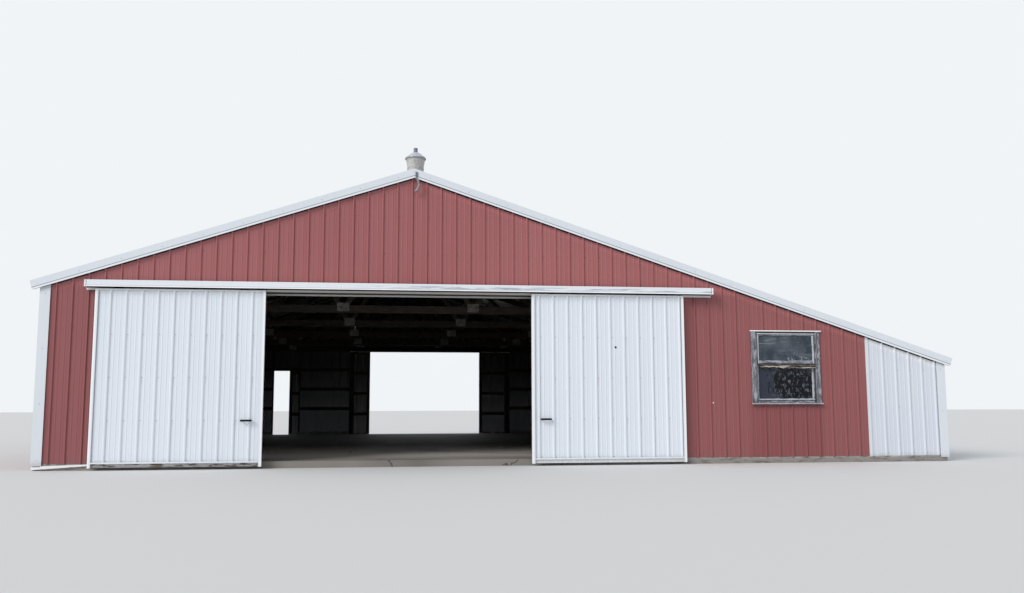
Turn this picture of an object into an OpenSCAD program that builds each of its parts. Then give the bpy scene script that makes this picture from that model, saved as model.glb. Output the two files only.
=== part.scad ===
// Pole barn with ribbed steel siding, sliding doors front and rear, and a lean-to in line
// with the right roof slope. X runs across the gable, Y from front to rear, Z up. The origin
// is on the ground, under the ridge and halfway along the barn. The front faces -Y.

/* [Building] */
// Width of the gabled part over its framing
main_w = 10980; // [9800:10:11600]
// Width of the lean-to beside the gabled part
lean_w = 3325; // [3000:5:3900]
// Length of one bay, from post to post
bay_l = 3048; // [2600:8:3400]
// Number of bays
bays = 5; // [4:1:6]
// Height of the roof sheets at the ridge above the head of the doorways
ridge_over = 1974; // [1930:2:2170]
// Rise of the roof in 12 of run
rise = 3.97; // [3.8:0.01:4.1]
// Height of the lower edge of the siding above the ground
siding_z = 95; // [60:5:150]
// Thickness of the floor slab
slab_t = 100; // [80:5:140]

/* [Timber] */
// Side of a square post
post_s = 140; // [120:2:160]
// Thickness of a framing board
board_t = 38; // [32:1:45]
// Depth of a narrow framing board, such as a girt or a purlin
board_n = 89; // [70:1:100]
// Depth of a medium framing board, such as a truss chord
board_m = 140; // [120:1:150]
// Depth of a wide framing board, such as a header or a grade board
board_w = 184; // [170:1:190]
// Centre height of the lowest girt
girt_z = 890; // [860:5:900]
// Spacing of the girts up the wall
girt_step = 600; // [560:5:640]
// Spacing of the purlins down the slope
purlin_step = 610; // [500:5:700]

/* [Sheet steel] */
// Thickness of the sheets and trims
sheet_t = 3; // [2:0.5:4]
// Spacing of the ribs
rib_pitch = 228.6; // [200:0.1:260]
// Height of a rib above the flat of the sheet
rib_h = 19; // [12:1:22]
// Width of a rib at its foot
rib_foot = 44; // [38:1:56]
// Width of a rib at its top
rib_top = 18; // [14:1:24]
// Width of each of the two minor ribs between ribs
swage_w = 20; // [14:1:26]
// Height of a minor rib
swage_h = 3; // [2:0.5:5]
// Distance of a rib from the middle of the gable
rib_shift = -28; // [-110:1:110]
// Face width of the corner trims
corner_w = 125; // [80:1:140]
// Depth of the rake trim below the roof ribs
rake_d = 140; // [120:1:170]
// Depth of the folded lip along the lower edge of the rake trim
rake_lip = 35; // [20:1:45]
// Width of each leg of the ridge cap
ridge_leg = 250; // [180:5:320]
// Overhang of the roof at the left eave
eave_left = 150; // [120:5:260]
// Overhang of the roof at the right eave
eave_right = 130; // [60:5:160]
// Width of the red siding on the lean-to, up to the strip and the white siding
lean_red = 1985; // [1800:5:2150]
// Width of that strip
strip_w = 46; // [40:1:80]

/* [Sliding doors] */
// Width of the front and rear doorways
doorway_w = 4720; // [4400:10:4800]
// Height of the doorways above the ground
doorway_h = 2660; // [2590:5:2680]
// Width of one door leaf
leaf_w = 2468; // [2436:2:2516]
// Height of the lower edge of a door sheet above the ground
leaf_z = 95; // [80:5:140]
// Depth of the frame of a door leaf that shows below its sheet
skirt = 55; // [30:5:60]
// Overlap of a door leaf above the doorway
leaf_lap = 15; // [10:1:30]
// Width of the folded edge trim on a door leaf
leaf_trim = 45; // [30:1:60]
// Height of the channel that closes the head and the foot of a leaf's sheet
channel_h = 24; // [16:1:40]
// Distance of the first rib from the left edge of a left leaf
left_leaf_rib = 216; // [209:1:223]
// Distance of the first rib from the left edge of a right leaf
right_leaf_rib = 111; // [90:1:120]
// Length of the front track
track_l = 9650; // [9650:2:9900]
// Place of the middle of the front track, from the ridge
track_x = -20; // [-20:5:20]
// Depth of the board that carries the rail
track_d = 152; // [146:2:160]
// Distance of the inner header below the head of a doorway
header_drop = 24; // [10:2:40]
// Left end of the rear track
rear_track_x = -3840; // [-3900:5:-3800]
// Place of the middle of the rear doorway, from the ridge
rear_x = 955; // [900:5:1000]
// Left edge of the front left leaf as it stands
front_left_x = -4700; // [-4720:5:-4620]
// Left edge of the front right leaf as it stands
front_right_x = 1856; // [1796:2:1996]
// Left edge of the rear left leaf as it stands
rear_left_x = -3390; // [-3420:5:-3300]
// Left edge of the rear right leaf as it stands
rear_right_x = 2520; // [2450:5:2700]
// Width of the rail that the doors hang from
rail_w = 66; // [60:1:72]
// Height of the rail
rail_h = 60; // [56:1:70]
// Depth of the hood over the rail
hood_d = 130; // [110:1:150]
// Height of the hood
hood_h = 115; // [105:1:135]
// Radius of a hanger wheel
wheel_r = 18; // [14:0.5:20]
// Height of the door handles
handle_z = 715; // [600:5:1100]
// Length of a door handle
handle_l = 165; // [120:5:220]
// Radius of its bar
handle_r = 15; // [10:1:20]

/* [Walk doorway] */
// Distance of the walk doorway from the left end of the rear wall
walk_in = 1640; // [1565:5:1685]
// Width of the walk doorway
walk_w = 760; // [700:5:800]
// Height of the walk doorway above the ground
walk_h = 2050; // [1950:5:2100]

/* [Window] */
// Distance of the window from the posts between the gabled part and the lean-to
win_gap = 28; // [20:1:140]
// Width of the window over its casing
win_w = 1170; // [1000:5:1180]
// Lower edge of the window
win_z = 955; // [945:5:1000]
// Height of the window over its casing
win_h = 1165; // [1000:5:1165]
// Width of the casing's uprights
casing_w = 90; // [70:1:100]
// Height of the casing's head, between the drip cap and the upper sash
casing_head = 28; // [20:1:60]
// Height of the casing's foot, between the sill and the lower sash
casing_foot = 16; // [10:1:60]
// Width of the sashes' stiles and of the top rail
sash_w = 30; // [24:1:44]
// Height of the sashes' rails where they meet, and of the lowest rail
sash_rail = 48; // [36:1:60]
// Height of the meeting rail above the foot of the window
meeting_z = 655; // [600:5:700]

/* [Ventilator] */
// Distance of the ventilator behind the front wall
vent_y = 400; // [330:10:1400]
// Offset of the ventilator from the ridge line, towards the lean-to
vent_x = 28; // [-60:4:60]
// Radius of the ventilator collar
vent_r = 129; // [110:1:140]
// Height of the collar above the ridge cap
vent_collar = 95; // [70:5:140]
// Radius of the ventilator body at its top
vent_top_r = 160; // [146:1:160]
// Height of the ventilator body
vent_h = 182; // [150:2:260]
// Radius of the ventilator cap
vent_cap_r = 168; // [168:1:200]

/* [Hidden] */
$fn = 48;

slope = atan(rise / 12);
ridge_z = doorway_h + ridge_over;
seam = 1.5;
rest = 0.2;
big = 30000;
half_w = main_w / 2;
half_l = bays * bay_l / 2;
right_x = half_w + lean_w;
post_out = half_w - board_t;
post_in = post_out - post_s;
strip_x = half_w + lean_red;
walk_x = -half_w + walk_in;
win_x = post_out + win_gap;
end_out = half_l - board_t;
end_in = end_out - post_s;
rib_out = sheet_t + rib_h;
purlin_d = sheet_t + board_t;
bearing_d = purlin_d + rest;
chord_d = bearing_d + board_m;
clear_d = purlin_d + 2;
seat_z = under(post_out - post_s / 2, chord_d);
lean_seat_z = under(right_x - board_t - post_s, chord_d);
rake_y = half_l + rib_out;
rake_face = rake_y + board_t;
behind_rake = rake_d - rib_h - 4;
doorway_x = doorway_w / 2;
leaf_top = doorway_h + leaf_lap;
board_face = half_l + rib_out + board_t;
rail_y = board_face + rail_w / 2;
rail_z = leaf_top + 35;
rail_t = 3;
slot_w = 17;
run_gap = 0.3;
casing_out = 12;
sill_t = 26;
plate_t = 2;
front_track_ends = [track_x - track_l / 2, track_x + track_l / 2];
track_top = doorway_h + track_d;
rear_track_ends = [rear_track_x, x_under(track_top, rake_d - rib_h + 10) - 20];
leaf_back = board_face + 6;
truss_y = [for (k = [0 : bays]) k == 0 ? -end_out + post_s / 2
    : k == bays ? end_out - post_s / 2 : -half_l + k * bay_l];

red = [0.545, 0.337, 0.345];
white = [0.85, 0.87, 0.90];
wood = [0.55, 0.47, 0.37];
steel = [0.62, 0.63, 0.64];

// Height of the roof's top face at x, and of a face at depth d below it
function pan(x) = ridge_z - abs(x) * rise / 12;
function under(x, d) = pan(x) - d / cos(slope);

// Distance from the ridge at which a face at depth d below the roof comes down to height z
function x_under(z, d) = (ridge_z - z - d / cos(slope)) * 12 / rise;

// Outline in X and Z below the roof, from x0 to x1 and up from z0, d below the roof sheets
module below_roof(x0, x1, z0, d) {
  peak = x0 < 0 && x1 > 0 ? [[0, under(0, d)]] : [];
  polygon(concat([[x0, z0], [x1, z0], [x1, under(x1, d)]], peak, [[x0, under(x0, d)]]));
}

// Child outline in X and Z, as a slab from y0 to y1
module slab_y(y0, y1) {
  translate([0, y1, 0]) rotate([90, 0, 0]) linear_extrude(y1 - y0) children();
}

// Child outline in Y and Z, as a bar from x0 to x1
module bar_x(x0, x1) {
  translate([x0, 0, 0]) rotate([90, 0, 90]) linear_extrude(x1 - x0) children();
}

module box(lo, hi) {
  translate(lo) cube(hi - lo);
}

// Child placed at the front for side -1, or turned over to the rear for side 1
module at_end(side) {
  if (side < 0) mirror([0, 1, 0]) children();
  else children();
}

// Child in the roof's own frame: X down the slope, Z away from the roof's top face
module on_slope(side) {
  mirror([side < 0 ? 1 : 0, 0, 0]) translate([0, 0, ridge_z]) rotate([0, slope, 0]) children();
}

// Centre of each rib and minor rib that fits between u0 and u1, with true for a rib
function marks_in(u0, u1, shift) =
  [for (n = [floor((u0 - shift) * 3 / rib_pitch) : ceil((u1 - shift) * 3 / rib_pitch)])
    let (c = shift + n * rib_pitch / 3, edge = (n % 3 == 0 ? rib_foot : swage_w) / 2 + 4)
    if (c >= u0 + edge && c <= u1 - edge) [c, n % 3 == 0]];
function ribs_in(u0, u1, shift) = [for (m = marks_in(u0, u1, shift)) if (m[1]) m[0]];

// Section of a ribbed sheet from u0 to u1, its back on the line v = 0. The ribs stay
// the distances in clear away from the two ends
module ribbed(u0, u1, shift, clear = [0, 0]) {
  mitre = sheet_t * tan(atan(2 * rib_h / (rib_foot - rib_top)) / 2);
  foot = rib_foot / 2;
  top = rib_top / 2;
  ribs = ribs_in(u0 + clear[0], u1 - clear[1], shift);
  outer = [for (m = marks_in(u0 + clear[0], u1 - clear[1], shift))
    let (c = m[0], f = m[1] ? foot : swage_w / 2, t = m[1] ? top : swage_w / 4, h = m[1] ? rib_h : swage_h)
    each [[c - f, sheet_t], [c - t, sheet_t + h], [c + t, sheet_t + h], [c + f, sheet_t]]];
  inner = [for (n = [len(ribs) - 1 : -1 : 0]) each [[ribs[n] + foot - mitre, 0],
      [ribs[n] + top - mitre, rib_h], [ribs[n] - top + mitre, rib_h], [ribs[n] - foot + mitre, 0]]];
  polygon(concat([[u0, 0], [u0, sheet_t]], outer, [[u1, sheet_t], [u1, 0]], inner));
}

// Ribbed sheet standing on an end wall, cut to the child outline in X and Z
module end_sheet(side, x0, x1, clear = [0, 0]) {
  intersection() {
    at_end(side) translate([0, half_l, 0]) linear_extrude(ridge_z) ribbed(x0, x1, rib_shift, clear);
    slab_y(-big, big) children();
  }
}

module floor_slab() {
  color([0.42, 0.41, 0.40]) difference() {
    box([-post_out, -end_out, 0], [right_x - board_t, end_out, slab_t]);
    wall_posts();
    inner_posts();
  }
}

// Grade boards between the doorways, behind the lower edge of the siding
module grade_boards() {
  color(wood) {
    for (side = [-1, 1]) at_end(side) {
      mid = side < 0 ? 0 : rear_x;
      for (run = side < 0 ? [[-half_w, mid - doorway_x], [mid + doorway_x, right_x]]
          : [[-half_w, walk_x], [walk_x + walk_w, mid - doorway_x], [mid + doorway_x, right_x]])
        box([run[0], end_out, 0], [run[1], half_l, board_w]);
    }
    for (x = [-half_w, right_x - board_t])
      box([x, -end_out + seam, 0], [x + board_t, end_out - seam, board_w]);
  }
}

module post(x, y, top_z) {
  box([x, y, 0], [x + post_s, y + post_s, top_z]);
}

// Outer posts: both long walls, the doorway jambs and the lean-to's end walls
module wall_posts() {
  color(wood) {
    for (y = truss_y) {
      post(-post_out, y - post_s / 2, seat_z);
      post(right_x - board_t - post_s, y - post_s / 2, lean_seat_z);
    }
    for (side = [-1, 1]) {
      y = side < 0 ? -end_out : end_in;
      mid = side < 0 ? 0 : rear_x;
      post(mid - doorway_x - post_s, y, seat_z);
      post(mid + doorway_x, y, seat_z);
      slab_y(y, y + post_s) for (x = [win_x + win_w + 20, strip_x - post_s / 2])
        intersection() {
          translate([x, 0]) square([post_s, ridge_z]);
          below_roof(0, right_x, 0, chord_d + rest);
        }
    }
  }
}

module inner_posts() {
  color(wood) for (y = truss_y) post(post_in, y - post_s / 2, seat_z);
}

// Horizontal board on the outside of an end wall's posts
module end_board(side, x0, x1, z, depth) {
  slab_y(side < 0 ? -half_l : end_out, side < 0 ? -end_out : half_l) intersection() {
    translate([x0, z - depth / 2]) square([x1 - x0, depth]);
    below_roof(-half_w, right_x, 0, clear_d);
  }
}

// Girts, outer and inner headers and the boards that carry the rails, front and rear
module end_girts() {
  win_r = win_x + win_w;
  color(wood) {
    for (side = [-1, 1]) {
      mid = side < 0 ? 0 : rear_x;
      jambs = [mid - doorway_x, mid + doorway_x];
      for (k = [0 : 2]) {
        z = girt_z + k * girt_step;
        left_runs = side < 0 ? [[-half_w, jambs[0]]]
            : [[-half_w, walk_x - board_t], [walk_x + walk_w + board_t, jambs[0]]];
        right_runs = side < 0 && k > 0 ? [[jambs[1], win_x], [win_r, right_x]] : [[jambs[1], right_x]];
        for (run = concat(left_runs, right_runs)) end_board(side, run[0], run[1], z, board_n);
      }
      end_board(side, -half_w, half_w, doorway_h + board_w / 2, board_w);
      for (k = [4, 5]) end_board(side, -half_w, half_w, girt_z + k * girt_step, board_n);
      ends = side < 0 ? front_track_ends : rear_track_ends;
      inner_z = doorway_h - header_drop;
      at_end(side) {
        box([ends[0], half_l + rib_out, doorway_h], [ends[1], board_face, track_top]);
        box([jambs[0] - post_s, end_in - board_t, inner_z], [jambs[1] + post_s, end_in, inner_z + board_m]);
      }
    }
    for (x = [walk_x - board_t, walk_x + walk_w])
      box([x, end_out, board_w + seam], [x + board_t, half_l, doorway_h - seam]);
    box([walk_x + seam, end_out, walk_h], [walk_x + walk_w - seam, half_l, walk_h + board_n]);
  }
}

// Girts along the two long walls
module side_girts() {
  color(wood) {
    for (k = [0 : 2]) box([-half_w, -end_out + seam, girt_z + k * girt_step - board_n / 2],
      [-post_out, end_out - seam, girt_z + k * girt_step + board_n / 2]);
    box([-half_w, -end_out + seam, under(half_w, purlin_d) - 2 - board_m],
      [-post_out, end_out - seam, under(half_w, purlin_d) - 2]);
    box([right_x - board_t, -end_out + seam, girt_z - board_n / 2],
      [right_x, end_out - seam, girt_z + board_n / 2]);
    box([right_x - board_t, -end_out + seam, under(right_x, purlin_d) - 2 - board_m],
      [right_x, end_out - seam, under(right_x, purlin_d) - 2]);
  }
}

module each_truss() {
  for (y = truss_y) slab_y(y - board_t / 2, y + board_t / 2) children();
}

module bottom_chords() {
  color(wood) each_truss() intersection() {
    translate([-post_out, seat_z]) square([2 * post_out, board_m]);
    below_roof(-post_out, post_out, 0, chord_d + rest);
  }
}

module top_chords() {
  color(wood) each_truss() for (side = [0, 1]) mirror([side, 0]) intersection() {
    difference() {
      below_roof(0.5, post_out, 0, bearing_d);
      below_roof(-1, post_out + 1, 0, chord_d);
    }
    translate([0, seat_z]) square([post_out, ridge_z]);
  }
}

// Where the webs meet the bottom chord and the top chords
low_joints = [main_w / 10 + 120, main_w * 0.3];
high_joints = [main_w / 6, main_w / 3];

// Point on the top face of a bottom chord, and on the lower face of a top chord
function low_pt(x) = [x, seat_z + board_m];
function high_pt(x) = [x, under(x, chord_d)];

// Web between two chord points, cut to the space between the chords
module web(a, b) {
  len_ab = norm(b - a);
  intersection() {
    translate(a) rotate(atan2(b[1] - a[1], b[0] - a[0])) translate([-2 * board_m, -board_n / 2])
      square([len_ab + 4 * board_m, board_n]);
    below_roof(-post_out, post_out, seat_z + board_m, chord_d + rest);
  }
}

// Double Fink webs: a zigzag of four webs from the ridge down to each eave
module truss_webs() {
  color(wood) each_truss() for (side = [0, 1]) mirror([side, 0]) {
    web(low_pt(low_joints[0] - 60), high_pt(board_m));
    web(low_pt(low_joints[0] + 60), high_pt(high_joints[0]));
    web(low_pt(low_joints[1] - 80), high_pt(high_joints[0] + 200));
    web(low_pt(low_joints[1] + 80), high_pt(high_joints[1]));
  }
}

// Nailed plates on both faces of each truss joint
module gusset_plates() {
  color(steel) for (y = truss_y) for (face = [-1, 1]) {
    y0 = y + face * (board_t + plate_t) / 2 - plate_t / 2;
    slab_y(y0, y0 + plate_t) {
      for (side = [0, 1]) mirror([side, 0]) {
        for (x = low_joints) translate([x - 110, seat_z + 30]) square([220, board_m + 20]);
        for (x = high_joints) translate(high_pt(x + 45) - [100, 70]) square([200, 150]);
      }
      translate([-150, under(0, chord_d) - 60]) square([300, 150]);
    }
  }
}

// Lean-to rafters beside the trusses, seated on the inner and the outer posts
module lean_rafters() {
  out = right_x - board_t;
  color(wood) for (y = truss_y) slab_y(y + board_t / 2, y + 1.5 * board_t) difference() {
    intersection() {
      below_roof(post_in, out, 0, bearing_d);
      translate([0, lean_seat_z]) square([out, ridge_z]);
    }
    below_roof(post_in - 1, out + 1, 0, chord_d);
    square([post_out, seat_z]);
    translate([out - post_s, 0]) square([post_s + 1, lean_seat_z]);
  }
}

// Purlins laid flat over the trusses and rafters
module purlins() {
  color(wood) for (side = [-1, 1]) {
    run = (side < 0 ? half_w : right_x) / cos(slope);
    count = floor((run - 300) / purlin_step);
    for (k = [0 : count]) on_slope(side) box(
      [k == count ? run - board_n - 10 : 100 + k * purlin_step, -rake_y, -purlin_d],
      [k == count ? run - 10 : 100 + k * purlin_step + board_n, rake_y, -sheet_t]);
  }
}

module front_siding_left() {
  color(red) end_sheet(-1, -half_w, -doorway_x) below_roof(-half_w, -doorway_x, siding_z, clear_d);
}

module front_siding_gable() {
  color(red) end_sheet(-1, -doorway_x + seam, doorway_x - seam)
    below_roof(-doorway_x, doorway_x, doorway_h, clear_d);
}

module front_siding_right() {
  win_r = win_x + win_w;
  color(red) {
    end_sheet(-1, doorway_x, win_x - seam) below_roof(doorway_x, win_x, siding_z, clear_d);
    end_sheet(-1, win_x, win_r) translate([win_x, siding_z]) square([win_w, win_z - siding_z]);
    end_sheet(-1, win_x, win_r) below_roof(win_x, win_r, win_z + win_h, clear_d);
    end_sheet(-1, win_r + seam, strip_x, [0, strip_w / 2]) below_roof(win_r, strip_x, siding_z, clear_d);
  }
}

// Ribbed sheet standing on a long wall whose framing ends at x
module side_sheet(x) {
  translate([x, 0, siding_z]) rotate([0, 0, -90]) linear_extrude(under(x, sheet_t) - siding_z - 12)
    ribbed(-half_l + seam, half_l - seam, 0);
}

// White siding: the lean-to's front and rear beyond the strip, and its long wall
module lean_siding() {
  color(white) {
    for (side = [-1, 1]) end_sheet(side, strip_x + seam, right_x, [strip_w / 2, 0])
      below_roof(strip_x, right_x, siding_z, clear_d);
    side_sheet(right_x);
  }
}

module rear_siding_left() {
  walk_r = walk_x + walk_w;
  jamb = rear_x - doorway_x;
  color(red) {
    end_sheet(1, -half_w, walk_x - seam) below_roof(-half_w, walk_x, siding_z, clear_d);
    end_sheet(1, walk_x, walk_r) below_roof(walk_x, walk_r, walk_h, clear_d);
    end_sheet(1, walk_r + seam, jamb) below_roof(walk_r, jamb, siding_z, clear_d);
  }
}

module rear_siding_gable() {
  color(red) end_sheet(1, rear_x - doorway_x + seam, rear_x + doorway_x - seam)
    below_roof(rear_x - doorway_x, rear_x + doorway_x, doorway_h, clear_d);
}

module rear_siding_right() {
  color(red) end_sheet(1, rear_x + doorway_x, strip_x, [0, strip_w / 2])
    below_roof(rear_x + doorway_x, strip_x, siding_z, clear_d);
}

module left_siding() {
  color(red) mirror([1, 0, 0]) side_sheet(half_w);
}

// Angle trim over an outside corner at x, with the building towards in_x and in_y
module corner_trim(x, y, in_x, in_y, top_z) {
  translate([x, y, siding_z - 30]) mirror([in_x < 0 ? 1 : 0, 0, 0]) mirror([0, in_y < 0 ? 1 : 0, 0])
    linear_extrude(top_z - siding_z + 30) difference() {
      translate([-rib_out - sheet_t, -rib_out - sheet_t]) square(corner_w + rib_out + sheet_t);
      translate([-rib_out, -rib_out]) square(corner_w + rib_out + 1);
    }
}

module corner_trims() {
  color(white) {
    for (side = [-1, 1]) {
      corner_trim(-half_w, side * half_l, 1, -side, under(half_w, chord_d));
      corner_trim(right_x, side * half_l, -1, -side, under(right_x, chord_d));
      at_end(side) slab_y(half_l + rib_out, half_l + rib_out + sheet_t) {
        below_roof(-half_w - rib_out - sheet_t, corner_w - half_w, siding_z - 30, behind_rake);
        below_roof(right_x - corner_w, right_x + rib_out + sheet_t, siding_z - 30, behind_rake);
      }
      at_end(side) intersection() {
        translate([strip_x, half_l + sheet_t, siding_z - 10]) linear_extrude(ridge_z) difference() {
          translate([-strip_w / 2, 0]) square([strip_w, rib_h]);
          translate([-strip_w / 2 + sheet_t, -1]) square([strip_w - 2 * sheet_t, rib_h - sheet_t + 1]);
        }
        slab_y(0, big) below_roof(0, right_x, 0, behind_rake);
      }
    }
  }
}

// Boards behind the rake trims, over the ends of the purlins
module rake_boards() {
  color(wood) for (end = [-1, 1]) for (side = [-1, 1]) intersection() {
    on_slope(side) at_end(end) box([-200, rake_y + rest, rib_h - rake_d + 6],
      [(side < 0 ? half_w + eave_left : right_x + eave_right) / cos(slope), rake_face, -sheet_t]);
    box([side < 0 ? -big : 0.5, -big, 0], [side < 0 ? -0.5 : big, big, big]);
  }
}

// Folded trim over each rake: a leg on the ribs, a face, and a lip along the lower edge
module rake_trims() {
  color(white) for (end = [-1, 1]) for (side = [-1, 1]) intersection() {
    reach = (side < 0 ? half_w + eave_left : right_x + eave_right) / cos(slope) + 10;
    on_slope(side) at_end(end) bar_x(-200, reach) polygon([
      [rake_face - 90, rib_h], [rake_face, rib_h], [rake_face, rib_h - rake_d + rake_lip],
      [rake_face + 5, rib_h - rake_d + rake_lip - 5], [rake_face + 5, rib_h - rake_d],
      [rake_face + 5 + sheet_t, rib_h - rake_d], [rake_face + 5 + sheet_t, rib_h - rake_d + rake_lip - 4],
      [rake_face + sheet_t, rib_h - rake_d + rake_lip + 1], [rake_face + sheet_t, rib_h + sheet_t],
      [rake_face - 90, rib_h + sheet_t]]);
    box([side < 0 ? -big : 0.5, -big, 0], [side < 0 ? -0.5 : big, big, big]);
  }
}

// Angle along the top of each long wall, over the upper edge of the siding
module eave_trims() {
  color(white) for (side = [-1, 1]) {
    x = side < 0 ? half_w : right_x;
    top = under(x + rib_out, sheet_t) - 8;
    mirror([side < 0 ? 1 : 0, 0, 0]) slab_y(-half_l + corner_w, half_l - corner_w)
      polygon([[x + rib_out, top - 90], [x + rib_out + sheet_t, top - 90],
        [x + rib_out + sheet_t, top - sheet_t - 15], [x + rib_out + 40, top - sheet_t - 25],
        [x + rib_out + 40, top - 25], [x + rib_out, top - 12]]);
  }
}

module roof_sheet(side, eave_x) {
  on_slope(side) translate([0, 0, -sheet_t]) bar_x(25, eave_x / cos(slope))
    ribbed(-rake_face, rake_face, 0);
}

module roof_left() {
  color(white) roof_sheet(-1, half_w + eave_left);
}

module roof_right() {
  color(white) roof_sheet(1, right_x + eave_right);
}

module ridge_cap() {
  reach = rake_face - 90 - seam;
  rise_h = rib_h / cos(slope) + rest;
  run = ridge_leg * cos(slope);
  color(white) slab_y(-reach, reach) polygon([
    [-run, pan(run) + rise_h], [0, ridge_z + rise_h], [run, pan(run) + rise_h],
    [run, pan(run) + rise_h + sheet_t], [0, ridge_z + rise_h + sheet_t],
    [-run, pan(run) + rise_h + sheet_t]]);
}

// Square rail with a slot along its underside
module rail(side, ends) {
  at_end(side) bar_x(ends[0] + 6, ends[1] - 6) difference() {
    translate([rail_y - rail_w / 2, rail_z]) square([rail_w, rail_h]);
    translate([rail_y - rail_w / 2 + rail_t, rail_z + rail_t])
      square([rail_w - 2 * rail_t, rail_h - 2 * rail_t]);
    translate([rail_y - slot_w / 2, rail_z - 1]) square([slot_w, rail_t + 2]);
  }
}

// Hood over the rail: it starts on the track board, slopes out and turns down. A cap
// closes each end
module hood(side, ends) {
  foot = track_top - hood_h;
  face = board_face + hood_d;
  fold = 14;
  at_end(side) {
    bar_x(ends[0], ends[1]) polygon([
      [board_face, track_top], [board_face + sheet_t, track_top], [face + sheet_t, track_top - fold],
      [face + sheet_t, foot + fold], [face + 12, foot], [face + 12 - sheet_t, foot - 2],
      [face, foot + 10], [face, track_top - fold - sheet_t], [board_face + sheet_t, track_top - sheet_t],
      [board_face + sheet_t, track_top - 25], [board_face, track_top - 25]]);
    for (x = [ends[0], ends[1] - sheet_t]) bar_x(x, x + sheet_t) polygon([
      [board_face, track_top], [board_face + sheet_t, track_top], [face + sheet_t + 3, track_top - fold + 1],
      [face + sheet_t + 3, foot + fold], [face + 12, foot - 2], [board_face, foot - 2]]);
  }
}

module front_track() {
  color(steel) rail(-1, front_track_ends);
}

module rear_track() {
  color(steel) rail(1, rear_track_ends);
}

module front_track_cover() {
  color(white) hood(-1, front_track_ends);
}

module rear_track_cover() {
  color(white) hood(1, rear_track_ends);
}

vent_z = ridge_z + rib_h / cos(slope) + sheet_t + 2 * rest;
vent_at = -half_l - rib_out + vent_y;
vent_foot = vent_r + 60;
body_z = vent_z + vent_collar;

// Flared base and collar, cut to sit on the two legs of the ridge cap
module ventilator_base() {
  color(steel) difference() {
    translate([vent_x, vent_at, 0]) rotate_extrude() polygon([
      [vent_r - sheet_t, vent_z - 80], [vent_foot, vent_z - 80], [vent_foot, vent_z - 45],
      [vent_r + 12, vent_z + 20], [vent_r + 4, vent_z + 30], [vent_r + 4, body_z - 10],
      [vent_r + 8, body_z - 6], [vent_r + 8, body_z], [vent_r - sheet_t, body_z]]);
    slab_y(vent_at - vent_foot - 1, vent_at + vent_foot + 1)
      below_roof(-half_w, half_w, 0, (ridge_z - vent_z) * cos(slope));
  }
}

// Body that widens upwards from the collar to the cap
module ventilator_body() {
  flare = [for (t = [0 : 0.2 : 1]) [vent_r + (vent_top_r - vent_r) * pow(t, 1.25), vent_h * t]];
  inner = [for (n = [len(flare) - 1 : -1 : 0]) flare[n] - [sheet_t, 0]];
  color(steel) translate([vent_x, vent_at, body_z]) rotate_extrude() polygon(concat(flare, inner));
}

// Low cap in two cones, with a rim that hangs outside the body and a stub on top
module ventilator_cap() {
  stub_r = 33;
  color(steel) translate([vent_x, vent_at, body_z + vent_h]) rotate_extrude() polygon([
    [0, 0], [vent_cap_r - sheet_t, 0], [vent_cap_r - sheet_t, -16], [vent_cap_r, -16], [vent_cap_r + 2, -6],
    [vent_cap_r, 4], [vent_cap_r * 0.9, 26], [vent_cap_r * 0.68, 46], [vent_cap_r * 0.68, 51],
    [vent_cap_r * 0.46, 80], [stub_r + 9, 101], [stub_r, 110], [stub_r, 170], [stub_r - 5, 175], [0, 175]]);
}

// Strap bolted to the front rake at the peak, with a curved hook hanging from it
module peak_hook() {
  low = under(0, rake_d - rib_h);
  bolt_z = low + rake_lip + 10;
  back = rake_face + sheet_t;
  y = back + 8.2;
  x = 35;
  arc_r = 134;
  arc_t = 18;
  color(steel) at_end(-1) {
    box([x - 18, y, low - 24], [x + 18, y + 6, bolt_z + 50]);
    for (z = [bolt_z, bolt_z + 32]) translate([x, y + 14, z]) rotate([90, 0, 0])
      cylinder(r = 9, h = y + 14 - back - rest);
    translate([x - 96, y + arc_t, low - 109]) rotate([90, 0, 0]) rotate([0, 0, -61])
      rotate_extrude(angle = 99) translate([arc_r, 0]) circle(arc_t);
  }
}

// Weathered casing round the window, with a drip cap and a sill
module window_frame() {
  y = half_l + rib_out + casing_out;
  color([0.49, 0.49, 0.52]) at_end(-1) {
    slab_y(end_out - 60, y) difference() {
      translate([win_x, win_z]) square([win_w, win_h]);
      translate([win_x + casing_w, win_z + casing_foot])
        square([win_w - 2 * casing_w, win_h - casing_head - casing_foot]);
    }
    box([win_x - 20, half_l + rib_out, win_z + win_h], [win_x + win_w + 20, y + 25, win_z + win_h + 14]);
    box([win_x - 15, half_l + rib_out, win_z - sill_t], [win_x + win_w + 15, y + 30, win_z]);
  }
}

sash_t = 34;
glass_t = 4;
function sash_y(k) = half_l - 40 + k * (sash_t + 2);
function sash_lo(k) = win_z + (k == 0 ? casing_foot : meeting_z - sash_rail / 2);
function sash_hi(k) = win_z + (k == 0 ? meeting_z + sash_rail / 2 : win_h - casing_head);
function glass_lo(k) = sash_lo(k) + sash_rail;
function glass_hi(k) = sash_hi(k) - (k == 0 ? sash_rail : sash_w);

// Lower sash inside, upper sash outside, meeting at one rail
module window_sashes() {
  color([0.45, 0.45, 0.47]) at_end(-1) for (k = [0, 1]) {
    slab_y(sash_y(k), sash_y(k) + sash_t) difference() {
      translate([win_x + casing_w, sash_lo(k)]) square([win_w - 2 * casing_w, sash_hi(k) - sash_lo(k)]);
      translate([win_x + casing_w + sash_w, glass_lo(k)])
        square([win_w - 2 * casing_w - 2 * sash_w, glass_hi(k) - glass_lo(k)]);
    }
  }
}

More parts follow.
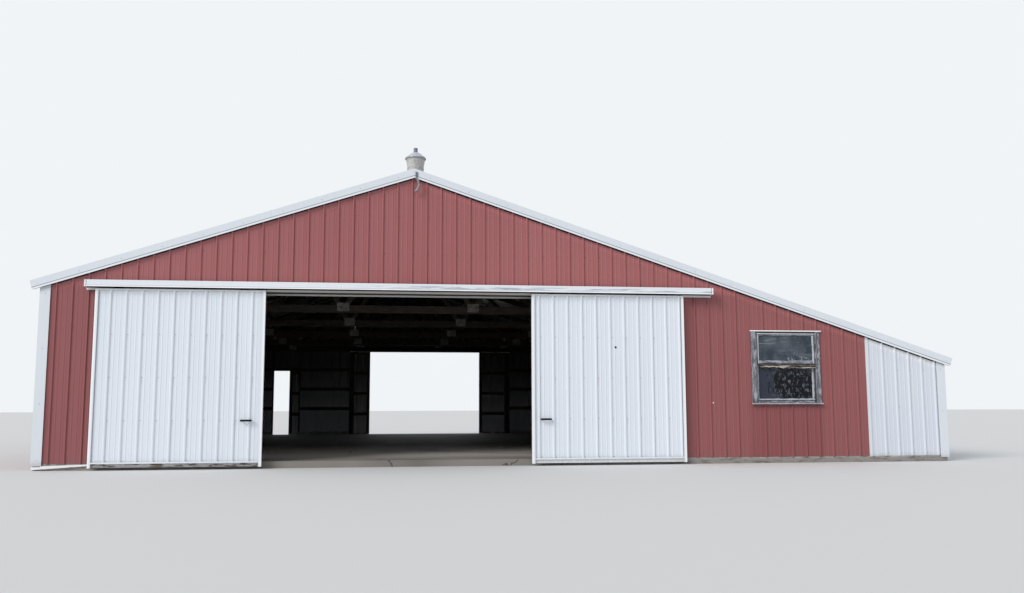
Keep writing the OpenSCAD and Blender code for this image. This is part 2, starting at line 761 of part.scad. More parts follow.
module window_glass() {
  color([0.3, 0.33, 0.36, 0.5]) at_end(-1) for (k = [0, 1]) {
    y = sash_y(k) + (sash_t - glass_t) / 2;
    box([win_x + casing_w + sash_w, y, glass_lo(k)],
      [win_x + win_w - casing_w - sash_w, y + glass_t, glass_hi(k)]);
  }
}

// Timber frame of a leaf whose left edge is at x: five rails and three stiles. Its
// lowest rail shows below the sheet
module leaf_frame(side, x) {
  x0 = x + sheet_t;
  x1 = x + leaf_w - sheet_t;
  z0 = leaf_z - skirt;
  h = leaf_top - z0;
  color(wood) at_end(side) slab_y(leaf_back, leaf_back + board_t) difference() {
    translate([x0, z0]) square([x1 - x0, h]);
    for (i = [0, 1]) for (k = [0 : 3]) {
      bay_w = (x1 - x0 - 3 * board_n) / 2;
      bay_h = (h - 5 * board_n) / 4;
      translate([x0 + board_n + i * (bay_w + board_n), z0 + board_n + k * (bay_h + board_n)])
        square([bay_w, bay_h]);
    }
  }
}

// Ribbed sheet of a leaf. A channel closes its head and its foot, and a folded trim covers
// both upright edges
module leaf_sheet(side, x, shift) {
  y = leaf_back + board_t;
  front = y + rib_out;
  trim_z = leaf_z - skirt - 5;
  color(white) at_end(side) {
    translate([0, y, leaf_z]) linear_extrude(leaf_top - leaf_z)
      ribbed(x + 1, x + leaf_w - 1, shift);
    for (z = [leaf_z, leaf_top - channel_h])
      box([x, front, z], [x + leaf_w, front + sheet_t, z + channel_h]);
    for (z = [leaf_z, leaf_top - sheet_t])
      box([x, y, z], [x + leaf_w, front + sheet_t, z + sheet_t]);
    for (k = [0, 1]) translate([k * leaf_w, 0, 0]) mirror([k, 0, 0]) {
      edge = k == 0 ? x : -x;
      translate([0, 0, trim_z]) linear_extrude(leaf_top - trim_z) polygon([
        [edge, leaf_back], [edge + sheet_t, leaf_back], [edge + sheet_t, front],
        [edge + leaf_trim, front], [edge + leaf_trim, front + sheet_t], [edge, front + sheet_t]]);
    }
  }
}

// Hanger near each upper corner, and a pull handle over the last rib, or beside the first
module leaf_hangers(side, x, shift, over_last) {
  ribs = ribs_in(x + 1, x + leaf_w - 1, shift);
  beside = rib_foot / 2 + 10;
  foot_x = over_last ? ribs[len(ribs) - 1] + beside - handle_l + 24 : ribs[0] + beside;
  y = rail_y;
  wheel_z = rail_z + rail_t + run_gap + wheel_r;
  pan_face = leaf_back + board_t + sheet_t + run_gap;
  bar_y = leaf_back + board_t + rib_out + 48;
  color([0.30, 0.30, 0.31]) at_end(side) {
    for (hx = [x + 320, x + leaf_w - 320]) {
      slab_y(y - 3, y + 3) difference() {
        polygon([[hx - 60, leaf_top], [hx + 60, leaf_top], [hx + 60, leaf_top + 12],
          [hx + 50, wheel_z + 14], [hx - 50, wheel_z + 14], [hx - 60, leaf_top + 12]]);
        for (w = [-30, 30]) translate([hx + w, wheel_z]) circle(4.3);
      }
      for (w = [-30, 30]) translate([hx + w, y, wheel_z]) rotate([90, 0, 0]) {
        cylinder(r = 4, h = 48, center = true);
        for (s = [-1, 1]) translate([0, 0, s * 16]) cylinder(r = wheel_r, h = 14, center = true);
      }
    }
    for (fx = [foot_x, foot_x + handle_l - 24]) translate([fx, pan_face, handle_z]) rotate([-90, 0, 0])
      cylinder(r = 9, h = bar_y - pan_face);
    translate([foot_x - 12, bar_y, handle_z]) rotate([0, 90, 0]) cylinder(r = handle_r, h = handle_l);
  }
}

module front_left_door_frame() { leaf_frame(-1, front_left_x); }
module front_left_door_sheet() { leaf_sheet(-1, front_left_x, front_left_x + left_leaf_rib); }
module front_left_door_hangers() { leaf_hangers(-1, front_left_x, front_left_x + left_leaf_rib, true); }
module front_right_door_frame() { leaf_frame(-1, front_right_x); }
module front_right_door_sheet() { leaf_sheet(-1, front_right_x, front_right_x + right_leaf_rib); }
module front_right_door_hangers() { leaf_hangers(-1, front_right_x, front_right_x + right_leaf_rib, false); }
module rear_left_door_frame() { leaf_frame(1, rear_left_x); }
module rear_left_door_sheet() { leaf_sheet(1, rear_left_x, rear_left_x + left_leaf_rib); }
module rear_left_door_hangers() { leaf_hangers(1, rear_left_x, rear_left_x + left_leaf_rib, true); }
module rear_right_door_frame() { leaf_frame(1, rear_right_x); }
module rear_right_door_sheet() { leaf_sheet(1, rear_right_x, rear_right_x + right_leaf_rib); }
module rear_right_door_hangers() { leaf_hangers(1, rear_right_x, rear_right_x + right_leaf_rib, false); }

floor_slab();
grade_boards();
wall_posts();
inner_posts();
end_girts();
side_girts();
bottom_chords();
top_chords();
truss_webs();
gusset_plates();
lean_rafters();
purlins();
front_siding_left();
front_siding_gable();
front_siding_right();
lean_siding();
rear_siding_left();
rear_siding_gable();
rear_siding_right();
left_siding();
corner_trims();
rake_boards();
rake_trims();
eave_trims();
roof_left();
roof_right();
ridge_cap();
front_track();
rear_track();
front_track_cover();
rear_track_cover();
ventilator_base();
ventilator_body();
ventilator_cap();
peak_hook();
window_frame();
window_sashes();
window_glass();
front_left_door_frame();
front_left_door_sheet();
front_left_door_hangers();
front_right_door_frame();
front_right_door_sheet();
front_right_door_hangers();
rear_left_door_frame();
rear_left_door_sheet();
rear_left_door_hangers();
rear_right_door_frame();
rear_right_door_sheet();
rear_right_door_hangers();
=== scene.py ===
# %% [markdown]
# # A red pole barn, dressed for its portrait
#
# The frame is already built: posts, girts, trusses, ribbed sheets, doors on their rail and the
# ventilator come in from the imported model, in metres, and stay where they are. This lesson
# gives each of them its real surface, adds the small things that a model of solids leaves out,
# such as screws, putty and torn wood, and sets up the camera and a plain studio.
#
# The origin is on the ground under the ridge, halfway along the barn. X runs to the right
# across the front, Y from the front to the rear, and Z up. The front wall faces -Y.

# %% Load the frame
import math

import bpy
import numpy as np
from mathutils import Matrix, Vector


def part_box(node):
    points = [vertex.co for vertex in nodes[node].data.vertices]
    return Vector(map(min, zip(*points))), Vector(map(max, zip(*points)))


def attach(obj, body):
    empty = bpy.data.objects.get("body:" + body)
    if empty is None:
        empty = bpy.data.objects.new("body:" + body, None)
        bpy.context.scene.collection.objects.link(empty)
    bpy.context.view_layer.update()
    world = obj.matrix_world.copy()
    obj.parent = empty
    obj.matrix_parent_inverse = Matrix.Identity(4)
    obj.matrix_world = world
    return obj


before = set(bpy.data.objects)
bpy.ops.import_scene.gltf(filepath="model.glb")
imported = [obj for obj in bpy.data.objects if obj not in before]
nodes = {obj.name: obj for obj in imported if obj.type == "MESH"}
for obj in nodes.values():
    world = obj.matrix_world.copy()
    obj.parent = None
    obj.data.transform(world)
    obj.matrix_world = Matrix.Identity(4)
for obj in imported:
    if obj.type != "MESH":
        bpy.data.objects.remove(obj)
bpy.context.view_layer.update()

# %% [markdown]
# ## Sizes that several steps share
#
# The sheets are the farm kind with a rib every 9 inches and two low swages between ribs. Nearly
# everything that follows is placed by that pitch, so it is written down once here, with the
# planes that the flats of the sheets lie in. The planes are read from the model's own boxes,
# which is safer than typing them again: if the barn changes, the screws and the dirt move with
# it.

# %% Measure the barn
RIB_PITCH = 0.2286
RIB_H = 0.019
SHEET_T = 0.003
PANEL_W = 4 * RIB_PITCH
WALL_SHIFT = -0.028
SCREW_OFF = 0.036
GIRT_ROWS = [0.14, 0.89, 1.49, 2.09, 2.75, 3.29, 3.89]
GIRT_STEP = 0.6
LEAF_ROWS = [0.130, 0.721, 1.357, 1.994, 2.640]
LEAF_STEP = 0.6365
PURLIN_STEP = 0.61
DOORWAY_H = 2.66
SLOPE = math.atan(3.97 / 12)

wall_lo, wall_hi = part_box("front_siding_gable")
END_FLAT = -wall_lo.y - RIB_H
LEFT_FLAT = -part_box("left_siding")[0].x - RIB_H
RIGHT_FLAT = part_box("lean_siding")[1].x - RIB_H
LEAF_FLAT = -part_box("front_left_door_sheet")[0].y - SHEET_T - RIB_H
RIDGE_Z = wall_hi.z + 0.043 / math.cos(SLOPE)

def edges(node, axis):
    """The lowest and the highest place of a CAD node along x, y or z, to a tenth of a mm."""
    return [round(getattr(corner, axis), 4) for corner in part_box(node)]

# Each door leaf: its name, where its first rib stands, and the way that it faces.
LEAVES = [("%s_%s" % (end, hand), edges("%s_%s_door_sheet" % (end, hand), "x")[0] + first_rib, way)
          for end, way in (("front", -1), ("rear", 1))
          for hand, first_rib in (("left", 0.216), ("right", 0.111))]
PANE_LEFT, PANE_RIGHT = edges("window_glass", "x")
PANE_FOOT, PANE_HEAD = edges("window_glass", "z")
MEETING_FOOT, MEETING_HEAD = 1.586, 1.634
WINDOW_X = (PANE_LEFT + PANE_RIGHT) / 2
print("flats at", round(END_FLAT, 4), round(LEFT_FLAT, 4), round(RIGHT_FLAT, 4), "leaf",
      round(LEAF_FLAT, 4), "ridge", round(RIDGE_Z, 4))

# %% [markdown]
# ## The camera
#
# A photograph of a building is nearly always taken from eye height with the camera tipped up a
# little. The place, the turn and the focal length were found by matching the ribs, the roof's
# edges and the door track, so the render can be laid over the picture. The camera's axes are
# worked out from its turn, tilt and lean, and written straight into its matrix, which avoids
# any doubt about the order of three rotations.

# %% Place the camera
def camera_axes(turn, tilt, lean):
    """Right, up and forward vectors: forward is turned from +Y towards +X and tipped up,
    then right and up lean about it."""
    ahead = np.array([math.sin(turn), math.cos(turn), 0.0])
    side = np.array([math.cos(turn), -math.sin(turn), 0.0])
    up = np.array([0.0, 0.0, 1.0])
    forward = ahead * math.cos(tilt) + up * math.sin(tilt)
    lifted = -ahead * math.sin(tilt) + up * math.cos(tilt)
    right = side * math.cos(lean) + lifted * math.sin(lean)
    above = -side * math.sin(lean) + lifted * math.cos(lean)
    return right, above, forward

EYE = (-0.3879, -22.3063, 0.8884)
right, above, forward = camera_axes(turn=0.131776, tilt=0.117981, lean=-0.003024)
camera = bpy.data.objects.new("camera", bpy.data.cameras.new("camera"))
camera.data.sensor_fit = "HORIZONTAL"
camera.data.sensor_width = 36.0
camera.data.lens = 33.082
camera.data.clip_end = 400.0
columns = np.column_stack([right, above, -forward, EYE])
camera.matrix_world = Matrix([*columns.tolist(), (0.0, 0.0, 0.0, 1.0)])
bpy.context.scene.collection.objects.link(camera)
bpy.context.scene.camera = camera
print("camera stands", round(-END_FLAT - EYE[1], 2), "m from the front wall, facing",
      [round(v, 3) for v in forward])

# %% [markdown]
# ## Short words for shader nodes
#
# A material is a graph of nodes, and most of them do one step of arithmetic on what the nodes
# before them give. Written out in full, such steps bury what a material says, so each gets a
# short word here. A node finds its tree from the sockets that feed it.

# %% Makers for shader nodes
def fill_in(inputs, values):
    """Sets sockets, each found by its name, or by its number as i0, i1 and so on. A node's
    output is linked, and anything else is the socket's value: a colour is three numbers."""
    for key, value in values.items():
        socket = inputs[int(key[1:]) if key[1:].isdigit() else key.replace("_", " ")]
        if isinstance(value, bpy.types.NodeSocket):
            socket.id_data.links.new(value, socket)
        elif socket.type == "RGBA":
            socket.default_value = (*value, 1.0)
        else:
            socket.default_value = value

def put(kind, fields=None, tree=None, **sockets):
    """Adds a shader node with its sockets filled in. It goes in the tree of its first linked
    socket, unless a tree is given."""
    linked = [value for value in sockets.values() if isinstance(value, bpy.types.NodeSocket)]
    node = (tree or linked[0].id_data).nodes.new("ShaderNode" + kind)
    for key, value in (fields or {}).items():
        setattr(node, key, value)
    fill_in(node.inputs, sockets)
    return node

def step_of(operation):
    """A function for one step of arithmetic on sockets and numbers, which gives a socket."""
    def work(*values, clamp=False):
        places = {"i%d" % n: value for n, value in enumerate(values)}
        return put("Math", {"operation": operation, "use_clamp": clamp}, **places).outputs[0]
    return work

add, sub, mul, div = map(step_of, ("ADD", "SUBTRACT", "MULTIPLY", "DIVIDE"))
mul_add = step_of("MULTIPLY_ADD")
most, less, greater = map(step_of, ("MAXIMUM", "LESS_THAN", "GREATER_THAN"))
absolute, whole, fract, root, sign = map(step_of, ("ABSOLUTE", "FLOOR", "FRACT", "SQRT", "SIGN"))

def axes(vector):
    """The three numbers of a vector."""
    return put("SeparateXYZ", Vector=vector).outputs

def off(value, middle):
    """The distance of a value from a middle, on either side of it."""
    return absolute(sub(value, middle))

def paint(factor, under, over, blend="MIX"):
    """The colour over laid on the colour under, by factor."""
    return put("Mix", {"data_type": "RGBA", "blend_type": blend, "clamp_factor": True}, i0=factor,
               i6=under, i7=over).outputs[2]

def coats(colour, *layers):
    """Lays more coats over a first colour, in their order, each as (mask, colour)."""
    for mask, over in layers:
        colour = paint(mask, colour, over)
    return colour

def ramp_up(value, start, end):
    """0 below start and 1 above end, with a smooth rise between them. It falls if end is less."""
    return put("MapRange", {"interpolation_type": "SMOOTHSTEP", "clamp": True}, Value=value,
               From_Min=start, From_Max=end).outputs[0]

print("13 steps of arithmetic, as in mul_add(a, b, c) = a b + c")

# %% [markdown]
# ## Light, floor and background
#
# Ribbed steel is read by its shading: a rib shows because one flank is lit and the other isn't.
# An even white sky alone would wash the ribs out, so a broad, soft sun from the upper left does
# that work and the sky fills the shadows. Their sum lights a wall that faces the camera to
# about 1, so that a colour renders as it is written. The background's brightness belongs to the
# rays that the eye sees, which the Light Path node tells apart from the rays that light the
# barn.

# %% Set up the studio
sky = bpy.data.worlds.new("studio_sky")
bpy.context.scene.world = sky
sky.use_nodes = True
sky_tree = sky.node_tree
sky_tree.nodes.clear()
path = put("LightPath", tree=sky_tree)
seen = most(path.outputs["Is Camera Ray"], most(path.outputs["Is Glossy Ray"],
                                                path.outputs["Is Transmission Ray"]))
fill = put("Background", Color=(0.92, 0.955, 1.0), Strength=0.60, tree=sky_tree)
pale = put("Background", Color=(0.88, 0.905, 0.93), Strength=1.0, tree=sky_tree)
chosen = put("MixShader", i0=seen, i1=fill.outputs[0], i2=pale.outputs[0])
put("OutputWorld", Surface=chosen.outputs[0])

sun = bpy.data.objects.new("soft_sun", bpy.data.lights.new("soft_sun", "SUN"))
sun.data.energy = 2.0
sun.data.angle = math.radians(28)
sun.data.color = (1.0, 0.975, 0.94)
sunbeam = Vector((0.70, 0.56, -0.55))
sun.rotation_euler = sunbeam.to_track_quat("-Z", "Y").to_euler()
bpy.context.scene.collection.objects.link(sun)
bpy.context.scene.view_settings.view_transform = "Standard"
print("sun shines along", [round(v, 2) for v in sunbeam.normalized()])

# %% [markdown]
# ### Meshes from arrays
#
# A mesh is two arrays, its points and its faces. Where the points come in rings, one rule joins
# each ring to the next, and the same few lines make the floor, a screw, a bead of putty and a
# torn lath.

# %% Makers for meshes
def circle(sides, start=0.0):
    """x and y of points round a circle of radius 1: cos a and sin a in equal turns."""
    turn = np.arange(sides) * 2 * np.pi / sides + start
    return np.cos(turn), np.sin(turn)

def skin(rings, sides):
    """The quads between neighbouring rings of points: a, b, b + sides and a + sides, where
    b comes after a in its ring."""
    a = np.arange((rings - 1) * sides)
    b = a - a % sides + (a + 1) % sides
    return np.stack([a, b, b + sides, a + sides], axis=-1)

def points_at(x, y, z):
    """Points as rows of three numbers, from arrays of any matching shapes."""
    return np.stack(np.broadcast_arrays(x, y, z), axis=-1).reshape(-1, 3)

def add_mesh(name, points, faces, material):
    """An object at the origin, with a mesh of points and faces in one material."""
    mesh = bpy.data.meshes.new(name)
    mesh.from_pydata(points.tolist(), [], faces)
    mesh.materials.append(material)
    made = bpy.data.objects.new(name, mesh)
    bpy.context.scene.collection.objects.link(made)
    return made

print("faces between 2 rings of 4 points:", skin(2, 4).tolist())

# %% Lay the floor
def disc(radius, rings, spokes):
    """Points and faces of a disc on the ground: ring radii grow as the square of their
    number, so that the faces are small near the barn."""
    reach = radius * (np.arange(1, rings + 1) / rings) ** 2
    x, y = [np.append(np.outer(reach, part), 0.0) for part in circle(spokes)]
    hub = [(rings * spokes, k, (k + 1) % spokes) for k in range(spokes)]
    return points_at(x, y, -0.002), skin(rings, spokes)[:, [0, 3, 2, 1]].tolist() + hub

floor_paint = bpy.data.materials.new("studio_floor")
floor_paint.use_nodes = True
fill_in(floor_paint.node_tree.nodes["Principled BSDF"].inputs,
        dict(Base_Color=(0.70, 0.705, 0.71), Roughness=0.9))
floor = add_mesh("studio_floor", *disc(320.0, 12, 64), floor_paint)
print("floor faces:", len(floor.data.polygons))

# %% [markdown]
# ## Patterns that several finishes share
#
# Weather works the same way on every sheet: rain draws long streaks down it, splashes soil on
# its foot, chalks the ribs that stick out, and lets a little rust run from each screw. These
# effects are node groups. A group hands back only masks, colours, roughness and heights, and
# each material keeps its own shader, so that a change here reaches them all.

# %% A maker for node groups
def pattern_group(name, gives, **takes):
    """An empty node group. Each keyword is an input, and its value tells its kind: a number,
    three numbers for a colour, or None for a vector. gives names the outputs."""
    group = bpy.data.node_groups.new(name, "ShaderNodeTree")
    for label, value in takes.items():
        kind = {tuple: "Color", float: "Float"}.get(type(value), "Vector")
        socket = group.interface.new_socket(label.replace("_", " "), in_out="INPUT",
                                            socket_type="NodeSocket" + kind)
        if kind != "Vector":
            socket.default_value = (*value, 1.0) if kind == "Color" else value
    for label in gives.split():
        kind = "Color" if label == "Color" else "Float"
        group.interface.new_socket(label.replace("_", " "), in_out="OUTPUT",
                                   socket_type="NodeSocket" + kind)
    ins, outs = group.nodes.new("NodeGroupInput"), group.nodes.new("NodeGroupOutput")
    return group, ins.outputs[:len(takes)], outs.inputs

def hand_back(give, **values):
    """Links what a group has worked out to its outputs."""
    fill_in(give, values)

def place(group, **sockets):
    """The outputs of one use of a node group, with its sockets filled in."""
    return put("Group", {"node_tree": group}, **sockets).outputs

def noise(vector, scale, detail=3.0, rough=0.5):
    """Soft random values around 0.5. scale is one number, or three that draw the pattern out."""
    if isinstance(scale, tuple):
        vector, scale = stretched(vector, *scale), 1.0
    return put("TexNoise", Vector=vector, Scale=scale, Detail=detail, Roughness=rough).outputs[0]

def stretched(vector, x, y, z):
    """The vector with each axis scaled, which draws a pattern out along the small ones."""
    return put("Mapping", Vector=vector, Scale=(x, y, z)).outputs[0]

# %% [markdown]
# ### Where on the sheet am I?
#
# A rib on an end wall runs up at a fixed X, and one on a long wall at a fixed Y. This group
# turns a place on any wall into the numbers that the other patterns use: how far across the
# sheet it is, how high it stands above the flat, and whether it is on the inner face. It
# compares the point with the planes of the walls, which needs no UV map and holds for both ends
# and both sides. The inner face is where the surface looks back at the middle of the barn:
# mills give that side only a thin pale wash coat.

# %% Layout of the walls
walls, (vector, normal), give = pattern_group("wall_layout", "Across Rise Inner", Vector=None,
                                              Normal=None)
x, y, z = axes(vector)
end_rise = sub(absolute(y), END_FLAT)
side_rise = most(sub(mul(x, -1.0), LEFT_FLAT), sub(x, RIGHT_FLAT))
on_end = greater(end_rise, side_rise)
on_side = sub(1.0, on_end)
out_x, out_y, _ = axes(normal)
outwards = add(mul(mul(out_y, sign(y)), on_end), mul(mul(out_x, sign(x)), on_side))
hand_back(give, Across=add(mul(sub(x, WALL_SHIFT), on_end), mul(y, on_side)),
          Rise=most(end_rise, side_rise), Inner=less(outwards, -0.05))
print("wall layout:", len(walls.nodes), "nodes")

# %% Layout of the roof
roof_layout, (vector, normal), give = pattern_group("roof_layout", "Across Rise Down Inner",
                                                    Vector=None, Normal=None)
x, y, z = axes(vector)
off_ridge = absolute(x)
rise = add(sub(z, RIDGE_Z), mul(off_ridge, math.tan(SLOPE)))
hand_back(give, Across=y, Rise=mul(rise, math.cos(SLOPE)), Down=div(off_ridge, math.cos(SLOPE)),
          Inner=less(axes(normal)[2], -0.02))
print("roof layout:", len(roof_layout.nodes), "nodes")

# %% [markdown]
# ### Ribs, laps and separate sheets
#
# A wall is a row of sheets, each four ribs wide. No two come from the same batch or weather
# alike, so each gets its own tone from a White Noise node fed with the sheet's number. The lap
# shows as a hairline at the foot of the shared rib. The crown of a rib catches sun and chalks
# first. The corner at a rib's foot is darkened with dirt and painted shade together.

# %% Rib and panel masks
ribs, (across, rise), give = pattern_group("rib_marks", "Panel_Tone Lap Crown Foot", Across=0.0,
                                           Rise=0.0)
panel = div(across, PANEL_W)
tone = put("TexWhiteNoise", {"noise_dimensions": "1D"}, W=whole(panel)).outputs[0]
lap_far = off(mul(fract(panel), PANEL_W), 0.024)
rib_far = mul(RIB_PITCH, sub(0.5, off(fract(div(across, RIB_PITCH)), 0.5)))
# Foot: the corner beside each rib, which the paint darkens with dirt and painted shade.
foot_far = off(rib_far, 0.027)
hand_back(give, Panel_Tone=tone, Lap=ramp_up(lap_far, 0.0022, 0.0012),
          Crown=ramp_up(rise, 0.012, 0.0185), Foot=ramp_up(foot_far, 0.007, 0.001))
print("rib marks:", len(ribs.nodes), "nodes")

# %% [markdown]
# ### Rain streaks and splashed soil
#
# A streak is ordinary noise pulled long in one direction, with its dark tails picked out by a
# smooth threshold. Splash is a height above the ground, roughened by noise so that its edge is
# ragged: heavy within a hand of the ground and gone by the knee.

# %% Streaks and splash
streaks, (vector,), give = pattern_group("rain_streaks", "Soft Sharp", Vector=None)
long_noise = noise(vector, (9.0, 9.0, 0.35), 4.0, 0.6)
thin_noise = noise(vector, (55.0, 55.0, 0.9), 3.0, 0.55)
hand_back(give, Soft=long_noise,
          Sharp=mul(ramp_up(thin_noise, 0.55, 0.78), ramp_up(long_noise, 0.38, 0.62)))

splash, (vector, reach), give = pattern_group("soil_splash", "Soil", Vector=None, Reach=0.35)
level = div(sub(axes(vector)[2], 0.06), reach)
edge = mul_add(noise(vector, 7.0, 5.0, 0.62), 1.1, -0.05)
near_ground = ramp_up(add(level, mul(edge, 0.8)), 1.25, 0.35)
fine_drops = ramp_up(noise(vector, 95.0, 2.0), 0.50, 0.68)
speckle = mul(fine_drops, ramp_up(level, 1.5, 0.0))
hand_back(give, Soil=most(near_ground, mul(speckle, 0.6)))
print("streaks and splash:", len(streaks.nodes) + len(splash.nodes), "nodes")

# %% [markdown]
# ### Rust that runs from the screws
#
# Each sheet is screwed beside every rib at every girt. A screw's zinc goes first, and a thin
# brown thread runs down the paint below it. The thread is a narrow band in the distance across,
# which repeats with the ribs, and it fades with the distance below the nearest row of screws.
# Noise breaks it up, so that most screws have none.

# %% Rust threads
rust_runs, (across, down, row, vector), give = pattern_group(
    "rust_runs", "Rust", Across=0.0, Down=0.0, Row_Step=0.6, Vector=None)
step = fract(add(div(sub(across, SCREW_OFF), RIB_PITCH), 0.5))
wander = mul(sub(noise(vector, 14.0), 0.5), 0.008)
off_line = absolute(add(wander, mul(sub(step, 0.5), RIB_PITCH)))
fall = mul(fract(div(down, row)), row)
thread = mul(ramp_up(off_line, 0.0062, 0.0014), ramp_up(fall, 0.22, 0.0))
hand_back(give, Rust=mul(thread, ramp_up(noise(vector, 2.3, 1.0), 0.50, 0.66)))
print("rust runs:", len(rust_runs.nodes), "nodes")

# %% [markdown]
# ## Painted steel
#
# One recipe serves the red walls, the white walls and doors, the trims and the roof. The layers
# go on in the order that they happen on the barn: factory paint, a batch tone for each sheet,
# bleaching, streaks, dirt with painted shade in the corners beside the ribs, rust, and soil at
# the foot. The bump is slight, because sheet steel is smooth: a broad waviness where the sheet
# pulls against its screws, and a very fine orange-peel in the paint.

# %% Painted steel group
# The grime colour paints the rain streaks and the laps, and also the painted shade at the ribs'
# feet.
painted, takes, give = pattern_group(
    "weathered_paint", "Color Roughness Height", Vector=None, Across=0.0, Rise=0.0, Down=0.0,
    Row_Step=0.6, Paint=(0.5, 0.5, 0.5), Bleached=(0.6, 0.6, 0.6), Grime=(0.2, 0.18, 0.15),
    Tone=0.5, Unevenness=0.6, Streaking=0.4, Rusting=0.5, Soiling=0.8, Soil_Reach=0.3, Inner=0.0)
(vector, across, rise, down, row, fresh, bleached, grime_and_shade, tone, unevenness, streaking, rusting,
 soiling, reach, inner) = takes
marks = place(ribs, Across=across, Rise=rise)
rain = place(streaks, Vector=vector)
mottle = noise(vector, 42.0, 4.0, 0.7)
batch = mul_add(marks["Panel Tone"], 0.34, -0.17)
broad = mul_add(noise(vector, 0.55, 3.0, 0.55), 1.3, -0.65)
drawn = mul_add(rain["Soft"], 0.9, -0.45)
tones = add(add(add(batch, broad), drawn), mul_add(mottle, 0.36, -0.18))
bleach = mul_add(tones, unevenness, tone, clamp=True)
crown = mul(marks["Crown"], mul_add(mottle, 0.7, 0.15))
# Sharp rain streaks are dirt; the Foot corner beside each rib is dirt and painted shade.
dirt = most(mul(rain["Sharp"], 0.55), mul(marks["Foot"], mul(rain["Soft"], 0.5)))
rusty = place(rust_runs, Across=across, Down=down, Row_Step=row, Vector=vector)["Rust"]
soil = mul(soiling, place(splash, Vector=vector, Reach=reach)["Soil"])
# The inner face's pale wash coat is painted darker towards the top, which is painted shade of the
# dim inside; rain streaks then darken it.
wash_coat_and_shade = paint(ramp_up(axes(vector)[2], 0.1, 2.4), (0.80, 0.83, 0.88), (0.085, 0.080, 0.078))
wash_coat_and_shade = paint(mul(rain["Soft"], 0.7), wash_coat_and_shade, (0.75, 0.73, 0.70), "MULTIPLY")
colour = coats(fresh, (bleach, bleached), (mul(crown, 0.45), bleached),
               (mul(streaking, dirt), grime_and_shade), (mul(marks["Lap"], 0.55), grime_and_shade),
               (mul(rusty, rusting), (0.20, 0.075, 0.028)), (soil, (0.17, 0.14, 0.105)),
               (inner, wash_coat_and_shade))
dull = add(mul_add(bleach, 0.18, 0.36), mul(most(soil, rusty), 0.35), clamp=True)
wavy = noise(vector, (2.2, 2.2, 1.1), 2.0, 0.4)
peel = mul_add(noise(vector, 900.0, 1.0), 0.00006, mul(marks["Lap"], -0.0010))
hand_back(give, Color=colour, Roughness=dull, Height=add(mul(wavy, 0.0042), peel))
print("weathered paint:", len(painted.nodes), "nodes")

# %% A material from the painted steel group
def new_material(name):
    """An empty material and the place on the object that it colours."""
    material = bpy.data.materials.new(name)
    material.use_nodes = True
    return material, put("TexCoord", tree=material.node_tree).outputs["Object"]

def axes_in(material):
    """The three numbers of the place, in a material that is already made."""
    return axes(material.node_tree.nodes["Texture Coordinate"].outputs["Object"])

def feed(material, colour, roughness, height, **levels):
    """Gives a shader its colour, its roughness, a height in metres as its bump, and any other
    levels by name. A finish group's first three outputs come in this order."""
    normal = put("Bump", Height=height, Distance=1.0).outputs["Normal"]
    fill_in(material.node_tree.nodes["Principled BSDF"].inputs,
            dict(Base_Color=colour, Roughness=roughness, Normal=normal, **levels))

def painted_steel(name, paint_colour, bleached, layout="wall", shift=0.0, **levels):
    """Weathered paint on ribbed or folded steel. layout says how the ribs run: wall, leaf
    with its first rib at shift, roof, or plain for a trim without ribs. It returns the
    material and the place on it."""
    material, at = new_material(name)
    x, y, z = axes(at)
    across, rise, inner = RIB_PITCH / 2, 0.0, 0.0
    if layout != "plain":
        where = place(roof_layout if layout == "roof" else walls, Vector=at,
                      Normal=at.node.outputs["Normal"])
        across, rise, inner = where["Across"], where["Rise"], where["Inner"]
    if layout == "leaf":
        across, rise = sub(x, shift), sub(absolute(y), LEAF_FLAT)
        down, row = sub(LEAF_ROWS[1], z), LEAF_STEP
    elif layout == "roof":
        down, row = sub(where["Down"], 0.1445), PURLIN_STEP
    else:
        down, row = sub(GIRT_ROWS[1], z), GIRT_STEP
    out = place(painted, Vector=at, Across=across, Rise=rise, Down=down, Row_Step=row,
                Inner=inner, Paint=paint_colour, Bleached=bleached, **levels)
    feed(material, *out[:3], Specular_IOR_Level=0.42)
    return material, at

def dress(material, *names):
    """Puts a material on CAD nodes, in the slots that they come with."""
    for name in names:
        for slot in nodes[name].material_slots:
            slot.material = material

def overlay(factor, over, strength=1.0):
    """Lays one more colour over what already feeds the shader's Base Color."""
    inputs = factor.id_data.nodes["Principled BSDF"].inputs
    under = inputs["Base Color"].links[0].from_socket
    fill_in(inputs, {"Base Color": paint(mul(factor, strength), under, over)})

def between(value, low, high, soft=0.002):
    """1 from low to high, with soft edges."""
    return mul(ramp_up(value, low - soft, low + soft), ramp_up(value, high + soft, high - soft))

def flank(at, way):
    """1 on the flanks of the end walls' ribs that look right (way 1) or left (way -1)."""
    out_x, out_y, _ = axes(at.node.outputs["Normal"])
    return mul(greater(mul(out_x, way), 0.7), greater(absolute(out_y), 0.4))

def painted_light_under_rake(at, tone, share):
    """Painted light on the sheets in the top 130 mm below the rake trim, which lifts the trim's
    shade.
    """
    overlay(ramp_up(place(roof_layout, Vector=at)["Rise"], -0.26, -0.13), tone, share)

def painted_flank_shading(at):
    """Painted light on the flank of a white rib that looks away from the sun, and a little
    painted shade on the flank that looks towards it, which softens the ribs' shading.
    """
    overlay(flank(at, 1), (0.98, 0.98, 1.0), 0.60)
    overlay(flank(at, -1), (0.55, 0.60, 0.66), 0.12)

print("the paint takes", [item.name for item in painted.interface.items_tree][3:])
